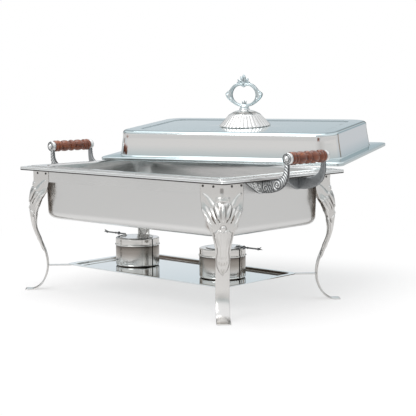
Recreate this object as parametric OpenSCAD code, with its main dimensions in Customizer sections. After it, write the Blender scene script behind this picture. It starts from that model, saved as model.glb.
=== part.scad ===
// Full-size buffet server of the chafing-dish kind: a footed stand with a riveted skirt, two end
// handles, a water pan, a food pan, a domed lid shown set back, and two fuel burners on a tray.
// Millimetres, +Z up. The origin is the middle of the stand's footprint, on the table.

/* [Pans] */
// Length of the food pan over its flange
pan_l = 530; // [440:1:640]
// Width of the food pan over its flange
pan_w = 325; // [270:1:390]
// Depth of the food pan
food_depth = 65; // [40:1:75]
// Depth of the water pan below the rim
water_depth = 106; // [96:1:130]
// Outside corner radius of the water pan's body
pan_corner = 45; // [30:1:55]
// Thickness of the pans' sheet
pan_sheet = 1.0; // [0.8:0.1:1.6]

/* [Stand] */
// Height of the rim's top face above the table
rim_h = 253.8; // [235:1:310]
// Thickness of the rim, skirt and leg sheet
stand_sheet = 1.6; // [1.2:0.1:2]
// How far the rim reaches past the food pan's flange all round
rim_margin = 15; // [12:1:20]
// Depth of the rim's turned-down lip
rim_lip = 7; // [5:0.5:10]
// How far the rim overhangs the skirt
rim_overhang = 18; // [14:1:20]
// Height of the skirt below the rim
skirt_h = 28; // [22:1:34]

/* [Legs] */
// Half width of the leg strap at the ankle
strap_half = 13; // [10:0.5:16]
// Length of the leg's flank along each face of the stand
flank_l = 55; // [46:1:60]
// How far the toe reaches out past the stand's corner, along the diagonal
toe_reach = 14; // [8:1:24]
// Radius of the leg's rounded ridge
ridge_r = 14.7; // [10:0.1:18]

/* [Burners] */
// Distance of each burner from the middle of the tray
burner_x = 118; // [100:1:125]
// Outside radius of the burner cup
cup_r = 45; // [38:1:48]
// Height of the burner cup
cup_h = 42; // [34:1:46]
// Height of the cover above the cup
cover_h = 16; // [12:1:20]
// Radius of the flame opening in the cover
mouth_r = 24; // [16:1:28]
// Reach of the damper's handle from the middle of its plate
damper_reach = 100; // [85:1:105]

/* [Tray] */
// Length of the fuel tray
tray_l = 438; // [380:1:450]
// Width of the fuel tray
tray_w = 222; // [180:1:230]
// Height of the tray's rim above the table
tray_h = 52; // [42:1:60]
// Depth of the tray's sunk floor
tray_depth = 6; // [5.5:0.5:9]

/* [Handles] */
// Distance between the middles of a handle's two bracket eyes
eye_gap = 107; // [96:1:116]
// How far the grip stands out past the rim
grip_out = 42; // [36:1:50]
// Height of the grip above the rim
grip_up = 34; // [28:1:42]
// Largest radius of the turned grip
grip_r = 12; // [9:0.5:13]

/* [Lid] */
// Height of the lid from its lip to the border of its top
lid_h = 61; // [50:1:80]
// Width of the lid's flange
lid_flange = 22; // [18:1:26]
// How far the shown lid is set back from the middle of the stand
lid_back = 261; // [255:1:300]
// How far the shown lid is shifted to the left
lid_left = 46; // [20:1:60]
// Turn of the shown lid about the vertical
lid_turn = 19; // [10:0.5:22]
// Lift of the shown lid's back edge, in degrees
lid_tilt = 4.1; // [3:0.1:6]
// Overall height of the knob
knob_h = 111; // [95:1:120]
// Radius of the knob's fluted base
knob_base_r = 56; // [44:1:60]

/* [Hidden] */
$fn = 64;

steel = [0.79, 0.79, 0.78];
mirror_steel = [0.7, 0.76, 0.79];
old_silver = [0.55, 0.56, 0.57];
grip_wood = [0.5, 0.22, 0.12];

corner_n = 7;            // segments in a rounded corner of a lofted shell
running = 0.05;          // radial clearance of a rod or screw in its hole
fit_gap = 0.3;           // clearance between a lifting piece and what it sits on
flange_gap = 4;          // side clearance between the food pan and the water pan

rim_l = pan_l + 2 * rim_margin;
rim_w = pan_w + 2 * rim_margin;
skirt_l = rim_l - 2 * rim_overhang;
skirt_w = rim_w - 2 * rim_overhang;
face_x = skirt_l / 2 + stand_sheet;      // outside faces of the leg tops
face_y = skirt_w / 2 + stand_sheet;
body_l = pan_l - 22;                     // water pan's body at its mouth
body_w = pan_w - 22;
body_draft = 3;                          // how much a pan's side leans in, each side
seat_l = pan_l + 14;                     // water pan's flange, which carries the lid
seat_w = pan_w + 14;
well_gap = 2;
seat_z = rim_h + pan_sheet;              // top of the water pan's flange
food_top = seat_z + pan_sheet;           // top of the food pan's flange
food_l = body_l - 2 * (pan_sheet + flange_gap);
food_w = body_w - 2 * (pan_sheet + flange_gap);
water_bottom = rim_h - water_depth;
tray_floor = tray_h - tray_depth + pan_sheet;
eye_x = rim_l / 2 + grip_out;
eye_z = rim_h + grip_up;
eye_half = 4;
eye_r = 10.5;
rod_r = 3;
lid_l = pan_l + 10;
lid_w = pan_w + 10;
panel_drop = 1.5;
panel_z = lid_h - panel_drop;
screw_r = 2.5;
lid_rise = 1.5;          // air between the shown lid's front lip and the food pan's flange
lid_z = food_top + lid_rise + sin(lid_tilt) * lid_w / 2;
cover_z = tray_floor + cup_h;
cover_top = cover_z + cover_h;
plate_r = cup_r - 8;
plate_t = 1.2;
plate_shift = [2, 4];                    // the damper plate sits off the cover's middle
rivet_spot = cup_r * [0.3444, 0.6778];

// Points of one rounded-rectangle ring, counter-clockwise seen from above.
function ring(a, b, r, z) = [
  for (q = [0:3])
    for (i = [0:corner_n])
      let (turn = 90 * q + 90 * i / corner_n)
      let (cx = (q == 0 || q == 3 ? 1 : -1) * (a - r), cy = (q < 2 ? 1 : -1) * (b - r))
      [cx + r * cos(turn), cy + r * sin(turn), z]
];

// Skin over a list of rings. It is capped at both ends, or joined end to start when closed.
// A strip's ring goes out along one face and back along the other, so its caps are rungs.
module loft(rings, closed = false, strip = false) {
  n = len(rings[0]);
  m = len(rings);
  last = closed ? m - 1 : m - 2;
  sides = [
    for (i = [0:last])
      for (j = [0:n - 1])
        let (k = (i + 1) % m, l = (j + 1) % n)
        [i * n + j, k * n + j, k * n + l, i * n + l]
  ];
  end = (m - 1) * n;
  caps = closed ? []
       : strip ? concat([for (j = [0:n / 2 - 2]) [j, j + 1, n - 2 - j, n - 1 - j]],
                        [for (j = [0:n / 2 - 2])
                           [end + n - 1 - j, end + n - 2 - j, end + j + 1, end + j]])
       : [[for (j = [0:n - 1]) j], [for (j = [n - 1:-1:0]) end + j]];
  polyhedron(points = [for (r = rings) for (p = r) p], faces = concat(sides, caps), convexity = 8);
}

module rounded(l, w, r) {
  square([l - 2 * r, w], center = true);
  square([l, w - 2 * r], center = true);
  for (x = [-1, 1])
    for (y = [-1, 1])
      translate([x * (l / 2 - r), y * (w / 2 - r)]) circle(r);
}

module frame_ring(l, w, r, in_l, in_w, in_r, t) {
  linear_extrude(t)
    difference() {
      rounded(l, w, r);
      rounded(in_l, in_w, in_r);
    }
}

// Each corner of the stand: [x side, y side, direction of its diagonal]
corners = [[-1, -1, -135], [1, -1, -45], [-1, 1, 135], [1, 1, 45]];

module rim_frame() {
  well = pan_corner + well_gap;
  color(steel) {
    translate([0, 0, rim_h - stand_sheet])
      frame_ring(rim_l, rim_w, 8, body_l + 2 * well_gap, body_w + 2 * well_gap, well, stand_sheet);
    translate([0, 0, rim_h - rim_lip])
      frame_ring(rim_l, rim_w, 8, rim_l - 2 * stand_sheet, rim_w - 2 * stand_sheet,
                 8 - stand_sheet, rim_lip - stand_sheet);
  }
}

skirt_top = rim_h - stand_sheet;
bracket_z = rim_h - 8;                    // top edge of a bracket's plate
plate_gap = 7;                            // each end of a plate to the leg or the end's middle
plate_half = min(eye_gap / 2, face_y - flank_l - eye_gap / 2) - plate_gap;
plate_deep = 23;
plate_thick = 3.5;
fix_gap = 0.478 * plate_half;             // screws' distance from the middle of the plate
fix_z = bracket_z - 8;

module at_bracket_screws() {
  for (x = [-1, 1])
    for (y = [-1, 1])
      for (side = [-1, 1])
        translate([x * skirt_l / 2, y * eye_gap / 2 + side * fix_gap, fix_z])
          rotate([0, x * 90, 0])
            children();
}

module skirt() {
  inner_r = 16 - stand_sheet;
  color(steel)
    difference() {
      translate([0, 0, skirt_top - skirt_h])
        frame_ring(skirt_l, skirt_w, 16, skirt_l - 2 * stand_sheet, skirt_w - 2 * stand_sheet,
                   inner_r, skirt_h);
      at_bracket_screws() cylinder(h = 8, r = screw_r + running, center = true);
    }
}

// Leg: a pressed sheet swept along a cabriole curve. Each station is
// [distance out along the diagonal, height as a share of the leg, crease, half width].
leg_top = skirt_top;
ridge_s = -ridge_r * (sqrt(2) - 1);
flank_half = flank_l / sqrt(2);
sole_l = 13;                     // length of the toe's flat sole
leg_stations = [
  [toe_reach - sole_l + 2, 0, 0, strap_half],
  [-7, 0.012, 0.1, strap_half],
  [-19, 0.054, 0.25, strap_half],
  [-27.5, 0.13, 0.3, strap_half],
  [-29.7, 0.21, 0.3, strap_half],
  [-25.8, 0.3, 0.3, strap_half],
  [-16.6, 0.39, 0.35, strap_half],
  [-7, 0.48, 0.5, strap_half + 2],
  [0, 0.605, 0.85, strap_half + 7.5],
  [2.8, 0.7, 0.9, strap_half + 14],
  [0, 0.8, 0.92, flank_half - 3],
  [ridge_s, 0.885, 1, flank_half]
];
function leg_height(share) = stand_sheet + share * (leg_top - stand_sheet);
function leg_point(k) = [
  leg_stations[k][0], leg_height(leg_stations[k][1]), leg_stations[k][2], leg_stations[k][3]
];
// A smooth curve through four neighbouring stations, at u from 0 to 1 between the middle two.
function smooth(a, b, c, d, u) =
  0.5 * (2 * b + (c - a) * u + (2 * a - 5 * b + 4 * c - d) * u * u
         + (3 * b - a - 3 * c + d) * u * u * u);
leg_last = len(leg_stations) - 1;
top_ghost = [leg_point(leg_last - 1)[0], 2 * leg_point(leg_last)[1] - leg_point(leg_last - 1)[1],
             1, flank_half];
function leg_at(k) = k < 0 ? leg_point(0) + [sole_l, 0, 0, 0]
                   : k > leg_last ? top_ghost : leg_point(k);
leg_line = concat(
  [for (k = [0:leg_last - 1])
     for (u = [0, 0.5])
       smooth(leg_at(k - 1), leg_at(k), leg_at(k + 1), leg_at(k + 2), u)],
  [leg_point(leg_last), [ridge_s, leg_top, 1, flank_half]]
);
// Fall of the section away from its ridge: an arc that runs on into a straight flank.
function fall(t) = abs(t) < ridge_r / sqrt(2)
  ? ridge_r - sqrt(ridge_r * ridge_r - t * t)
  : abs(t) + ridge_s;
function fall_slope(t) = abs(t) < ridge_r / sqrt(2) ? abs(t) / sqrt(ridge_r * ridge_r - t * t) : 1;
leg_across = [-1, -0.75, -0.5, -0.28, -0.14, 0, 0.14, 0.28, 0.5, 0.75, 1];
function leg_ring(i) =
  let (p = leg_line[i], n = len(leg_line) - 1)
  let (ahead = leg_line[min(i + 1, n)], behind = leg_line[max(i - 1, 0)])
  let (run = [ahead[0] - behind[0], ahead[1] - behind[1]])
  let (inward = i == 0 ? [0, -1] : i >= n - 1 ? [-1, 0] : [-run[1], run[0]] / norm(run))
  let (outside = [for (w = leg_across) [w * p[3], p[2] * fall(w * p[3])]])
  let (thick = [for (w = leg_across) stand_sheet * norm([1, p[2] * fall_slope(w * p[3])])])
  let (m = len(leg_across) - 1)
  concat(
    [for (j = [0:m])
       [p[0] + inward[0] * outside[j][1], outside[j][0], p[1] + inward[1] * outside[j][1]]],
    [for (j = [m:-1:0])
       let (d = outside[j][1] + thick[j])
       [p[0] + inward[0] * d, outside[j][0], p[1] + inward[1] * d]]
  );

module leg(corner) {
  color(steel)
    translate([corner[0] * face_x, corner[1] * face_y, 0])
      rotate([0, 0, corner[2]]) {
        loft([for (i = [0:len(leg_line) - 1]) leg_ring(i)], strip = true);
        translate([toe_reach - sole_l / 2, 0, 0])
          linear_extrude(stand_sheet) rounded(sole_l, 2 * strap_half, 4);
      }
}

rivet_r = 2.2;
rivet_z = skirt_top - 11;
rivet_reach = [0.42 * flank_l, 0.88 * flank_l];   // from the stand's corner, along its face

module rivet() {
  grip = 2 * stand_sheet;
  translate([0, 0, -grip - 0.8]) cylinder(h = grip + 0.8, r = rivet_r * 0.8);
  cylinder(h = 0.6, r = rivet_r);
  translate([0, 0, 0.6]) cylinder(h = 0.6, r1 = rivet_r, r2 = rivet_r * 0.6);
}

module leg_rivets() {
  color(old_silver)
    for (c = corners)
      for (d = rivet_reach) {
        translate([c[0] * face_x, c[1] * (face_y - d), rivet_z]) rotate([0, c[0] * 90, 0]) rivet();
        translate([c[0] * (face_x - d), c[1] * face_y, rivet_z]) rotate([-c[1] * 90, 0, 0]) rivet();
      }
}

tray_corner = 14;
tray_rim = 11;
module fuel_tray() {
  a = tray_l / 2;
  b = tray_w / 2;
  t = pan_sheet;
  wall = tray_rim + 4;
  color(mirror_steel)
    loft([
      ring(a - wall, b - wall, tray_corner - 4, tray_h - tray_depth),
      ring(a - tray_rim, b - tray_rim, tray_corner, tray_h - t),
      ring(a - 1, b - 1, tray_corner + 4, tray_h - t),
      ring(a, b, tray_corner + 4, tray_h - t / 2),
      ring(a - 1, b - 1, tray_corner + 4, tray_h),
      ring(a - tray_rim, b - tray_rim, tray_corner, tray_h),
      ring(a - wall, b - wall, tray_corner - 4, tray_floor)
    ]);
}

// Leg's inside face at the tray's height, found between the two stations that enclose it.
arm_t = 2.4;
arm_w = 11;
arm_top = tray_h - pan_sheet;
arm_share = (arm_top - stand_sheet) / (leg_top - stand_sheet);
ankle = [for (k = [1:leg_last]) if (leg_stations[k - 1][1] <= arm_share
                                  && leg_stations[k][1] > arm_share)
           min(leg_stations[k - 1][0], leg_stations[k][0])][0];
arm_end = ankle - 1.25 * stand_sheet - 0.35 * fall(arm_w / 2);

module tray_arms() {
  run = max(face_x - tray_l / 2, face_y - tray_w / 2);
  color(steel)
    for (c = corners)
      translate([c[0] * face_x, c[1] * face_y, arm_top - arm_t])
        rotate([0, 0, c[2]]) {
          inner = -sqrt(2) * run - 10;
          translate([inner, -arm_w / 2, 0]) cube([arm_end - inner, arm_w, arm_t]);
        }
}

// Handle brackets. Each is cast in one: a leaf-shaped plate, an arm and an eye.
arm_wide = 7;
arm_deep = 22;                            // depth of the arm at its root
arm_neck = 8;                             // its width just under the eye
arm_root_x = skirt_l / 2 + plate_thick;
under_edge = [
  [arm_root_x, bracket_z - arm_deep],
  [arm_root_x + 0.45 * grip_out, bracket_z - arm_deep - 1],
  [eye_x - 0.1 * grip_out, bracket_z - arm_deep + 4],
  [eye_x + 3, bracket_z + 2],
  [eye_x + arm_neck / 2, eye_z - eye_r / 2]
];
over_edge = [
  [arm_root_x, bracket_z],
  [arm_root_x + 0.7 * grip_out, bracket_z - 2],
  [eye_x - 0.3 * grip_out, bracket_z + 2],
  [eye_x - 6, bracket_z + 12],
  [eye_x - arm_neck / 2, eye_z - eye_r / 2]
];
function bezier(points, u) =
  len(points) == 1 ? points[0]
  : bezier([for (i = [0:len(points) - 2]) points[i] * (1 - u) + points[i + 1] * u], u);
arm_steps = 12;
arm_outline = concat(
  [for (i = [0:arm_steps]) bezier(under_edge, i / arm_steps)],
  [for (i = [arm_steps:-1:0]) bezier(over_edge, i / arm_steps)]
);
leaf = [
  [-plate_half, 0], [-plate_half + 4, -5], [-0.28 * plate_half, -plate_deep + 2],
  [-0.16 * plate_half, -plate_deep], [0.16 * plate_half, -plate_deep],
  [0.28 * plate_half, -plate_deep + 2], [plate_half - 4, -5], [plate_half, 0]
];

module bracket(side_x, side_y) {
  color(old_silver)
    difference() {
      union() {
        translate([side_x * skirt_l / 2, side_y * eye_gap / 2, bracket_z])
          rotate([90, 0, 90 * side_x])
            linear_extrude(plate_thick) polygon(leaf);
        translate([0, side_y * eye_gap / 2 + arm_wide / 2, 0])
          rotate([90, 0, 0])
            linear_extrude(arm_wide)
              polygon([for (p = arm_outline) [side_x * p[0], p[1]]]);
        translate([side_x * eye_x, side_y * eye_gap / 2, eye_z])
          rotate([90, 0, 0]) cylinder(h = 2 * eye_half, r = eye_r, center = true);
      }
      translate([side_x * eye_x, side_y * eye_gap / 2, eye_z])
        rotate([90, 0, 0]) cylinder(h = 4 * eye_half, r = rod_r + running, center = true);
      at_bracket_screws() cylinder(h = 2.4, r = screw_r + running);
    }
}

module bracket_screws() {
  color(steel)
    at_bracket_screws() {
      translate([0, 0, -stand_sheet]) cylinder(h = stand_sheet + 2.2, r = screw_r);
      translate([0, 0, -stand_sheet - 2]) cylinder(h = 2, r = 2 * screw_r);
    }
}

// Turned grip: half outline from one end to the other, [share of the length, share of the radius]
grip_turning = [
  [0, 0.62], [0.04, 0.78], [0.09, 0.78], [0.12, 0.6], [0.15, 0.6], [0.2, 0.86], [0.28, 0.97],
  [0.36, 0.84], [0.4, 0.62], [0.44, 0.86], [0.5, 1], [0.56, 0.86], [0.6, 0.62], [0.64, 0.84],
  [0.72, 0.97], [0.8, 0.86], [0.85, 0.6], [0.88, 0.6], [0.91, 0.78], [0.96, 0.78], [1, 0.62]
];
grip_l = eye_gap - 2 * eye_half;

module grip(side_x) {
  color(grip_wood)
    translate([side_x * eye_x, grip_l / 2, eye_z])
      rotate([90, 0, 0])
        rotate_extrude()
          polygon(concat(
            [[rod_r + running, 0]],
            [for (p = grip_turning) [p[1] * grip_r, p[0] * grip_l]],
            [[rod_r + running, grip_l]]
          ));
}

nut_h = 6;
nut_r = 5.5;
module grip_rod(side_x) {
  color(steel)
    translate([side_x * eye_x, 0, eye_z])
      rotate([90, 0, 0]) cylinder(h = eye_gap + 2 * eye_half + nut_h, r = rod_r, center = true);
}

module grip_nuts() {
  color(old_silver)
    for (x = [-1, 1])
      for (y = [-1, 1])
        translate([x * eye_x, y * (eye_gap / 2 + eye_half), eye_z])
          rotate([-y * 90, 0, 0])
            difference() {
              union() {
                cylinder(h = nut_h - 2, r = nut_r);
                translate([0, 0, nut_h - 2]) cylinder(h = 2, r1 = nut_r, r2 = nut_r - 2);
              }
              translate([0, 0, -1]) cylinder(h = nut_h / 2 + 1 + running, r = rod_r + running);
            }
}

// A pan in sheet: rings go out over its underside, up its side, round its flange and back down.
module pan(l, w, corner, flange_l, flange_w, flange_corner, top, deep, draft) {
  a = l / 2;
  b = w / 2;
  t = pan_sheet;
  low = top - deep;
  bend = 13;
  color(steel)
    loft([
      ring(a - draft - bend, b - draft - bend, corner - bend, low),
      ring(a - draft - bend * 0.5, b - draft - bend * 0.5, corner - bend * 0.5, low + bend * 0.134),
      ring(a - draft - bend * 0.134, b - draft - bend * 0.134, corner - bend * 0.134,
           low + bend * 0.5),
      ring(a - draft, b - draft, corner, low + bend),
      ring(a, b, corner, top - t),
      ring(flange_l / 2, flange_w / 2, flange_corner, top - t),
      ring(flange_l / 2, flange_w / 2, flange_corner, top),
      ring(a - t, b - t, corner - t, top),
      ring(a - draft - t, b - draft - t, corner - t, low + bend),
      ring(a - draft - bend * 0.134 - t, b - draft - bend * 0.134 - t, corner - bend * 0.134 - t,
           low + bend * 0.5 + t * 0.4),
      ring(a - draft - bend * 0.5 - t, b - draft - bend * 0.5 - t, corner - bend * 0.5 - t,
           low + bend * 0.134 + t * 0.8),
      ring(a - draft - bend - t, b - draft - bend - t, corner - bend - t, low + t)
    ]);
}

module water_pan() {
  pan(body_l, body_w, pan_corner, seat_l, seat_w, 14, seat_z, water_depth + pan_sheet, body_draft);
}

module food_pan() {
  pan(food_l, food_w, pan_corner - 8, pan_l, pan_w, 12, food_top, food_depth, 8);
}

// Lid, in its own frame: +Z up from the middle of its lip.
module place_lid() {
  translate([-lid_left, lid_back, lid_z])
    rotate([lid_tilt, 0, lid_turn])
      children();
}

module lid_shell() {
  a = lid_l / 2;
  b = lid_w / 2;
  t = pan_sheet;
  lip = 7.5;
  wall = lid_flange;
  lean = 6;
  bend = 16;
  rise = lid_h - bend;
  flat = wall + lean + bend;
  panel = flat + 22;
  hole = screw_r + 0.6;
  outer = [
    ring(a, b, 12, 0),
    ring(a, b, 12, lip - 2),
    ring(a - 2, b - 2, 11, lip),
    ring(a - wall, b - wall, 46, lip + 0.5),
    ring(a - wall - 1.5, b - wall - 1.5, 45, lip + 3),
    ring(a - wall - lean, b - wall - lean, 42, rise),
    ring(a - flat + bend * 0.707, b - flat + bend * 0.707, 39, rise + bend * 0.707),
    ring(a - flat + bend * 0.383, b - flat + bend * 0.383, 36, rise + bend * 0.924),
    ring(a - flat, b - flat, 32, lid_h),
    ring(a - panel + 4, b - panel + 4, 20, lid_h),
    ring(a - panel, b - panel, 18, panel_z),
    ring(hole, hole, hole, panel_z)
  ];
  inner = [
    ring(hole, hole, hole, panel_z - t),
    ring(a - panel + 0.4, b - panel + 0.4, 18, panel_z - t),
    ring(a - panel + 4.4, b - panel + 4.4, 20, lid_h - t),
    ring(a - flat, b - flat, 32, lid_h - t),
    ring(a - flat + bend * 0.383 - t * 0.4, b - flat + bend * 0.383 - t * 0.4, 36,
         rise + bend * 0.924 - t * 0.9),
    ring(a - flat + bend * 0.707 - t * 0.7, b - flat + bend * 0.707 - t * 0.7, 39,
         rise + bend * 0.707 - t * 0.7),
    ring(a - wall - lean - t, b - wall - lean - t, 41, rise - t * 0.2),
    ring(a - wall - 1.5 - t, b - wall - 1.5 - t, 44, lip + 3 - t),
    ring(a - wall - t, b - wall - t, 45, lip + 0.5 - t),
    ring(a - 2.4, b - 2.4, 10, lip - t),
    ring(a - t, b - t, 11, lip - 2.6),
    ring(a - t, b - t, 11, 0)
  ];
  color(steel) place_lid() loft(concat(inner, outer), closed = true);
}

knob_neck = 0.34 * knob_h;       // height of the bell-shaped base
neck_r = 10;
ring_thick = 8;
bell_wall = 1.6;
module knob_base() {
  outline = [
    [knob_base_r, 0], [knob_base_r, 1.6], [knob_base_r * 0.9, 0.17 * knob_neck],
    [knob_base_r * 0.76, 0.42 * knob_neck], [knob_base_r * 0.63, 0.68 * knob_neck],
    [knob_base_r * 0.52, 0.82 * knob_neck], [knob_base_r * 0.38, 0.91 * knob_neck],
    [neck_r + 2, knob_neck], [screw_r + 0.2, knob_neck]
  ];
  color(steel)
    place_lid()
      translate([0, 0, panel_z])
        rotate_extrude()
          polygon(concat(
            [[knob_base_r - bell_wall, 0]], outline,
            [[screw_r + 0.2, knob_neck - 2 * bell_wall]],
            [for (i = [len(outline) - 3:-1:2]) outline[i] - [bell_wall, bell_wall]]
          ));
}

ring_mid = knob_neck + 0.26 * knob_h;
module knob_ring() {
  tall = knob_h - knob_neck;
  wide_r = 0.43 * tall;
  color(old_silver)
    place_lid()
      translate([0, 0, panel_z])
        difference() {
          union() {
            translate([0, 0, knob_neck]) cylinder(h = 5, r = neck_r);
            translate([0, ring_thick / 2, 0])
              rotate([90, 0, 0])
                linear_extrude(ring_thick)
                  difference() {
                    union() {
                      translate([0, ring_mid + 3]) circle(wide_r);
                      translate([-6, knob_neck + 3]) square([12, 10]);
                      for (x = [-1, 1])
                        translate([x * 33, ring_mid + 8]) circle(7);
                      translate([0, knob_h - 7]) circle(7);
                      for (x = [-1, 1])
                        translate([x * 9, knob_h - 12]) circle(5);
                    }
                    for (x = [-1, 1])
                      translate([x * 8, ring_mid + 5]) circle(14);
                    translate([0, ring_mid - 1]) circle(16);
                  }
          }
          translate([0, 0, knob_neck - 1]) cylinder(h = 10, r = screw_r + running);
        }
}

washer_t = 1.2;
module knob_screw() {
  color(steel)
    place_lid()
      translate([0, 0, panel_z - pan_sheet - washer_t]) {
        translate([0, 0, -3]) cylinder(h = 3, r = 2 * screw_r);
        cylinder(h = washer_t + pan_sheet + knob_neck + 8, r = screw_r);
      }
}

module knob_washer() {
  color(steel)
    place_lid()
      translate([0, 0, panel_z - pan_sheet - washer_t])
        difference() {
          cylinder(h = washer_t, r = 3.4 * screw_r);
          translate([0, 0, -1]) cylinder(h = washer_t + 2, r = screw_r + running);
        }
}

// Burners stand at the two ends of the tray. The right one is the left one turned half round.
module place_burner(side) {
  translate([side * burner_x, 0, 0])
    rotate([0, 0, side > 0 ? 0 : 180])
      children();
}

cup_wall = 1.2;
cup_bend = 7;
module fuel_cup(side) {
  color(steel)
    place_burner(side)
      translate([0, 0, tray_floor])
        rotate_extrude()
          difference() {
            union() {
              square([cup_r - cup_bend, cup_h]);
              translate([0, cup_bend]) square([cup_r, cup_h - cup_bend]);
              translate([cup_r - cup_bend, cup_bend]) circle(cup_bend);
            }
            translate([-cup_r, -cup_r]) square([cup_r, 3 * cup_r]);
            translate([0, cup_wall]) square([cup_r - cup_bend, cup_h]);
            translate([0, cup_bend]) square([cup_r - cup_wall, cup_h]);
            translate([cup_r - cup_bend, cup_bend]) circle(cup_bend - cup_wall);
          }
}

bead_r = 1.6;
spigot = 8;
module fuel_cover(side) {
  spigot_r = cup_r - cup_wall - 0.5;
  lift = fit_gap;
  color(steel)
    place_burner(side)
      translate([0, 0, cover_z + lift])
        difference() {
          union() {
            rotate_extrude() {
              difference() {
                square([cup_r, cover_h - lift]);
                translate([0, -1]) square([spigot_r - 1, cover_h - lift]);
              }
              translate([spigot_r - 1, -spigot]) square([1, spigot + 2]);
              translate([cup_r, bead_r]) circle(bead_r);
            }
          }
          translate([0, 0, -1]) cylinder(h = cover_h + 2, r = mouth_r);
          translate([rivet_spot[0], rivet_spot[1], 0]) cylinder(h = cover_h + 2, r = 1.6);
        }
}

plate_z = cover_top + fit_gap;
module damper_plate(side) {
  color(mirror_steel)
    place_burner(side)
      translate([0, 0, plate_z])
        difference() {
          translate(plate_shift) cylinder(h = plate_t, r = plate_r);
          translate([rivet_spot[0], rivet_spot[1], -1]) cylinder(h = plate_t + 2, r = 1.6);
        }
}

module damper_rivet(side) {
  shank = 1.6 - running;
  color(old_silver)
    place_burner(side)
      translate([rivet_spot[0], rivet_spot[1], 0]) {
        translate([0, 0, cover_top - 1.2]) cylinder(h = 1.2 + 2 * fit_gap + plate_t, r = shank);
        translate([0, 0, plate_z + plate_t + fit_gap]) cylinder(h = 1, r = 3);
        translate([0, 0, cover_top - 2.4]) cylinder(h = 1.2, r = 2.4);
      }
}

// Damper handle: a turned stick with two beads and an end ball, a foot on the plate and a leaf tip.
stick_r = 1.7;
stick_lift = 2.3;
ball_r = 3.6;
beads = [[cup_r + ball_r + 2, ball_r], [cup_r + 3 * ball_r + 4, 0.7 * ball_r],
         [damper_reach - 12, 0.8 * ball_r]];
leaf_l = 12;
function bead_outline(b) = [
  for (i = [0:8])
    let (lean = asin(stick_r / b[1]), turn = 180 - lean - (180 - 2 * lean) * i / 8)
    [b[1] * sin(turn), b[0] + b[1] * cos(turn)]
];
module damper_handle(side) {
  start = plate_r - 6;
  color(old_silver)
    place_burner(side)
      translate([0, 5, plate_z + plate_t + stick_lift]) {
        translate([plate_r - 14, -4, -stick_lift]) cube([12, 8, 1.4]);
        rotate([0, 90, 0])
          rotate_extrude()
            polygon(concat(
              [[0, start], [stick_r, start]],
              [for (b = beads) for (p = bead_outline(b)) p],
              [[0, beads[2][0] + sqrt(ball_r * ball_r * 0.64 - stick_r * stick_r)]]
            ));
        translate([beads[2][0], 0, 0])
          rotate([0, -30, 0])
            translate([0, 0, -0.7])
              linear_extrude(1.4)
                polygon([[0, -1.2], [leaf_l * 0.6, -4], [leaf_l, 0], [leaf_l * 0.6, 4], [0, 1.2]]);
      }
}

rim_frame();
skirt();
leg(corners[0]);  // leg_front_left
leg(corners[1]);  // leg_front_right
leg(corners[2]);  // leg_back_left
leg(corners[3]);  // leg_back_right
leg_rivets();
fuel_tray();
tray_arms();
bracket(-1, -1);  // bracket_left_front
bracket(-1, 1);  // bracket_left_back
bracket(1, -1);  // bracket_right_front
bracket(1, 1);  // bracket_right_back
grip(-1);  // grip_left
grip(1);  // grip_right
grip_rod(-1);  // grip_rod_left
grip_rod(1);  // grip_rod_right
grip_nuts();
bracket_screws();
water_pan();
food_pan();
lid_shell();
knob_base();
knob_ring();
knob_screw();
knob_washer();
fuel_cup(-1);  // fuel_cup_left
fuel_cup(1);  // fuel_cup_right
fuel_cover(-1);  // fuel_cover_left
fuel_cover(1);  // fuel_cover_right
damper_plate(-1);  // damper_plate_left
damper_plate(1);  // damper_plate_right
damper_handle(-1);  // damper_handle_left
damper_handle(1);  // damper_handle_right
damper_rivet(-1);  // damper_rivet_left
damper_rivet(1);  // damper_rivet_right
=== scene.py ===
# %% [markdown]
# # A full-size chafing dish
# The CAD model is a fixed frame: it says where every part sits and which body it moves with.
# Every new piece is a surface worked out with numpy around that frame, in millimetres that are
# scaled to the frame's metres at the end, +Z up.
# This first cell loads the frame, so that each later cell can ask a CAD part for its box.

# %% Load the frame
import math

import bpy
import numpy as np
from mathutils import Matrix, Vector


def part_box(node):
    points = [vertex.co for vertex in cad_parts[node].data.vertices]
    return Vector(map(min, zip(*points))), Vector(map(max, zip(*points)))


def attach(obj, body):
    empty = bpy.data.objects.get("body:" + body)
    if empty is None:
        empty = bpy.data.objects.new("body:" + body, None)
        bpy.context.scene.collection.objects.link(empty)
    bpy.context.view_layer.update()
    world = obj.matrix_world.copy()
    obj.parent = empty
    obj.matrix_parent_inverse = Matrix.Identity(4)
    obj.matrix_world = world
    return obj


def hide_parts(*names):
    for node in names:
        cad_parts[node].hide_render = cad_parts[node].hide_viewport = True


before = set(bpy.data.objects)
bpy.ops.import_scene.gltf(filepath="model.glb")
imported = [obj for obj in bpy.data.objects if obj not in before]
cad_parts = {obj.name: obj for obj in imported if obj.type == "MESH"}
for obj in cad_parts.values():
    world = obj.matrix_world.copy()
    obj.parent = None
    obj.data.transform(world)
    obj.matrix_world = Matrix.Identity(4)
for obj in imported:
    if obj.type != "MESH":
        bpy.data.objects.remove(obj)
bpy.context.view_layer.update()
MM = 0.001

# %% [markdown]
# ## Camera
# A product shot is taken from far away with a long lens, so that parallel edges stay nearly
# parallel. The camera is placed at a distance of about 2.4 m, turned 42 degrees to the right of
# straight on and tipped 6 degrees down. A track-to constraint would also aim it, but a matrix
# built from its three axes keeps the small roll and is easy to read.

# %% Camera
AZIMUTH, PITCH, ROLL = np.radians([42.42, 6.22, -0.25])
CAMERA_AT = np.array([1.6086, -1.6724, 0.4257])
LENS_MM = 101.0

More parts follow.
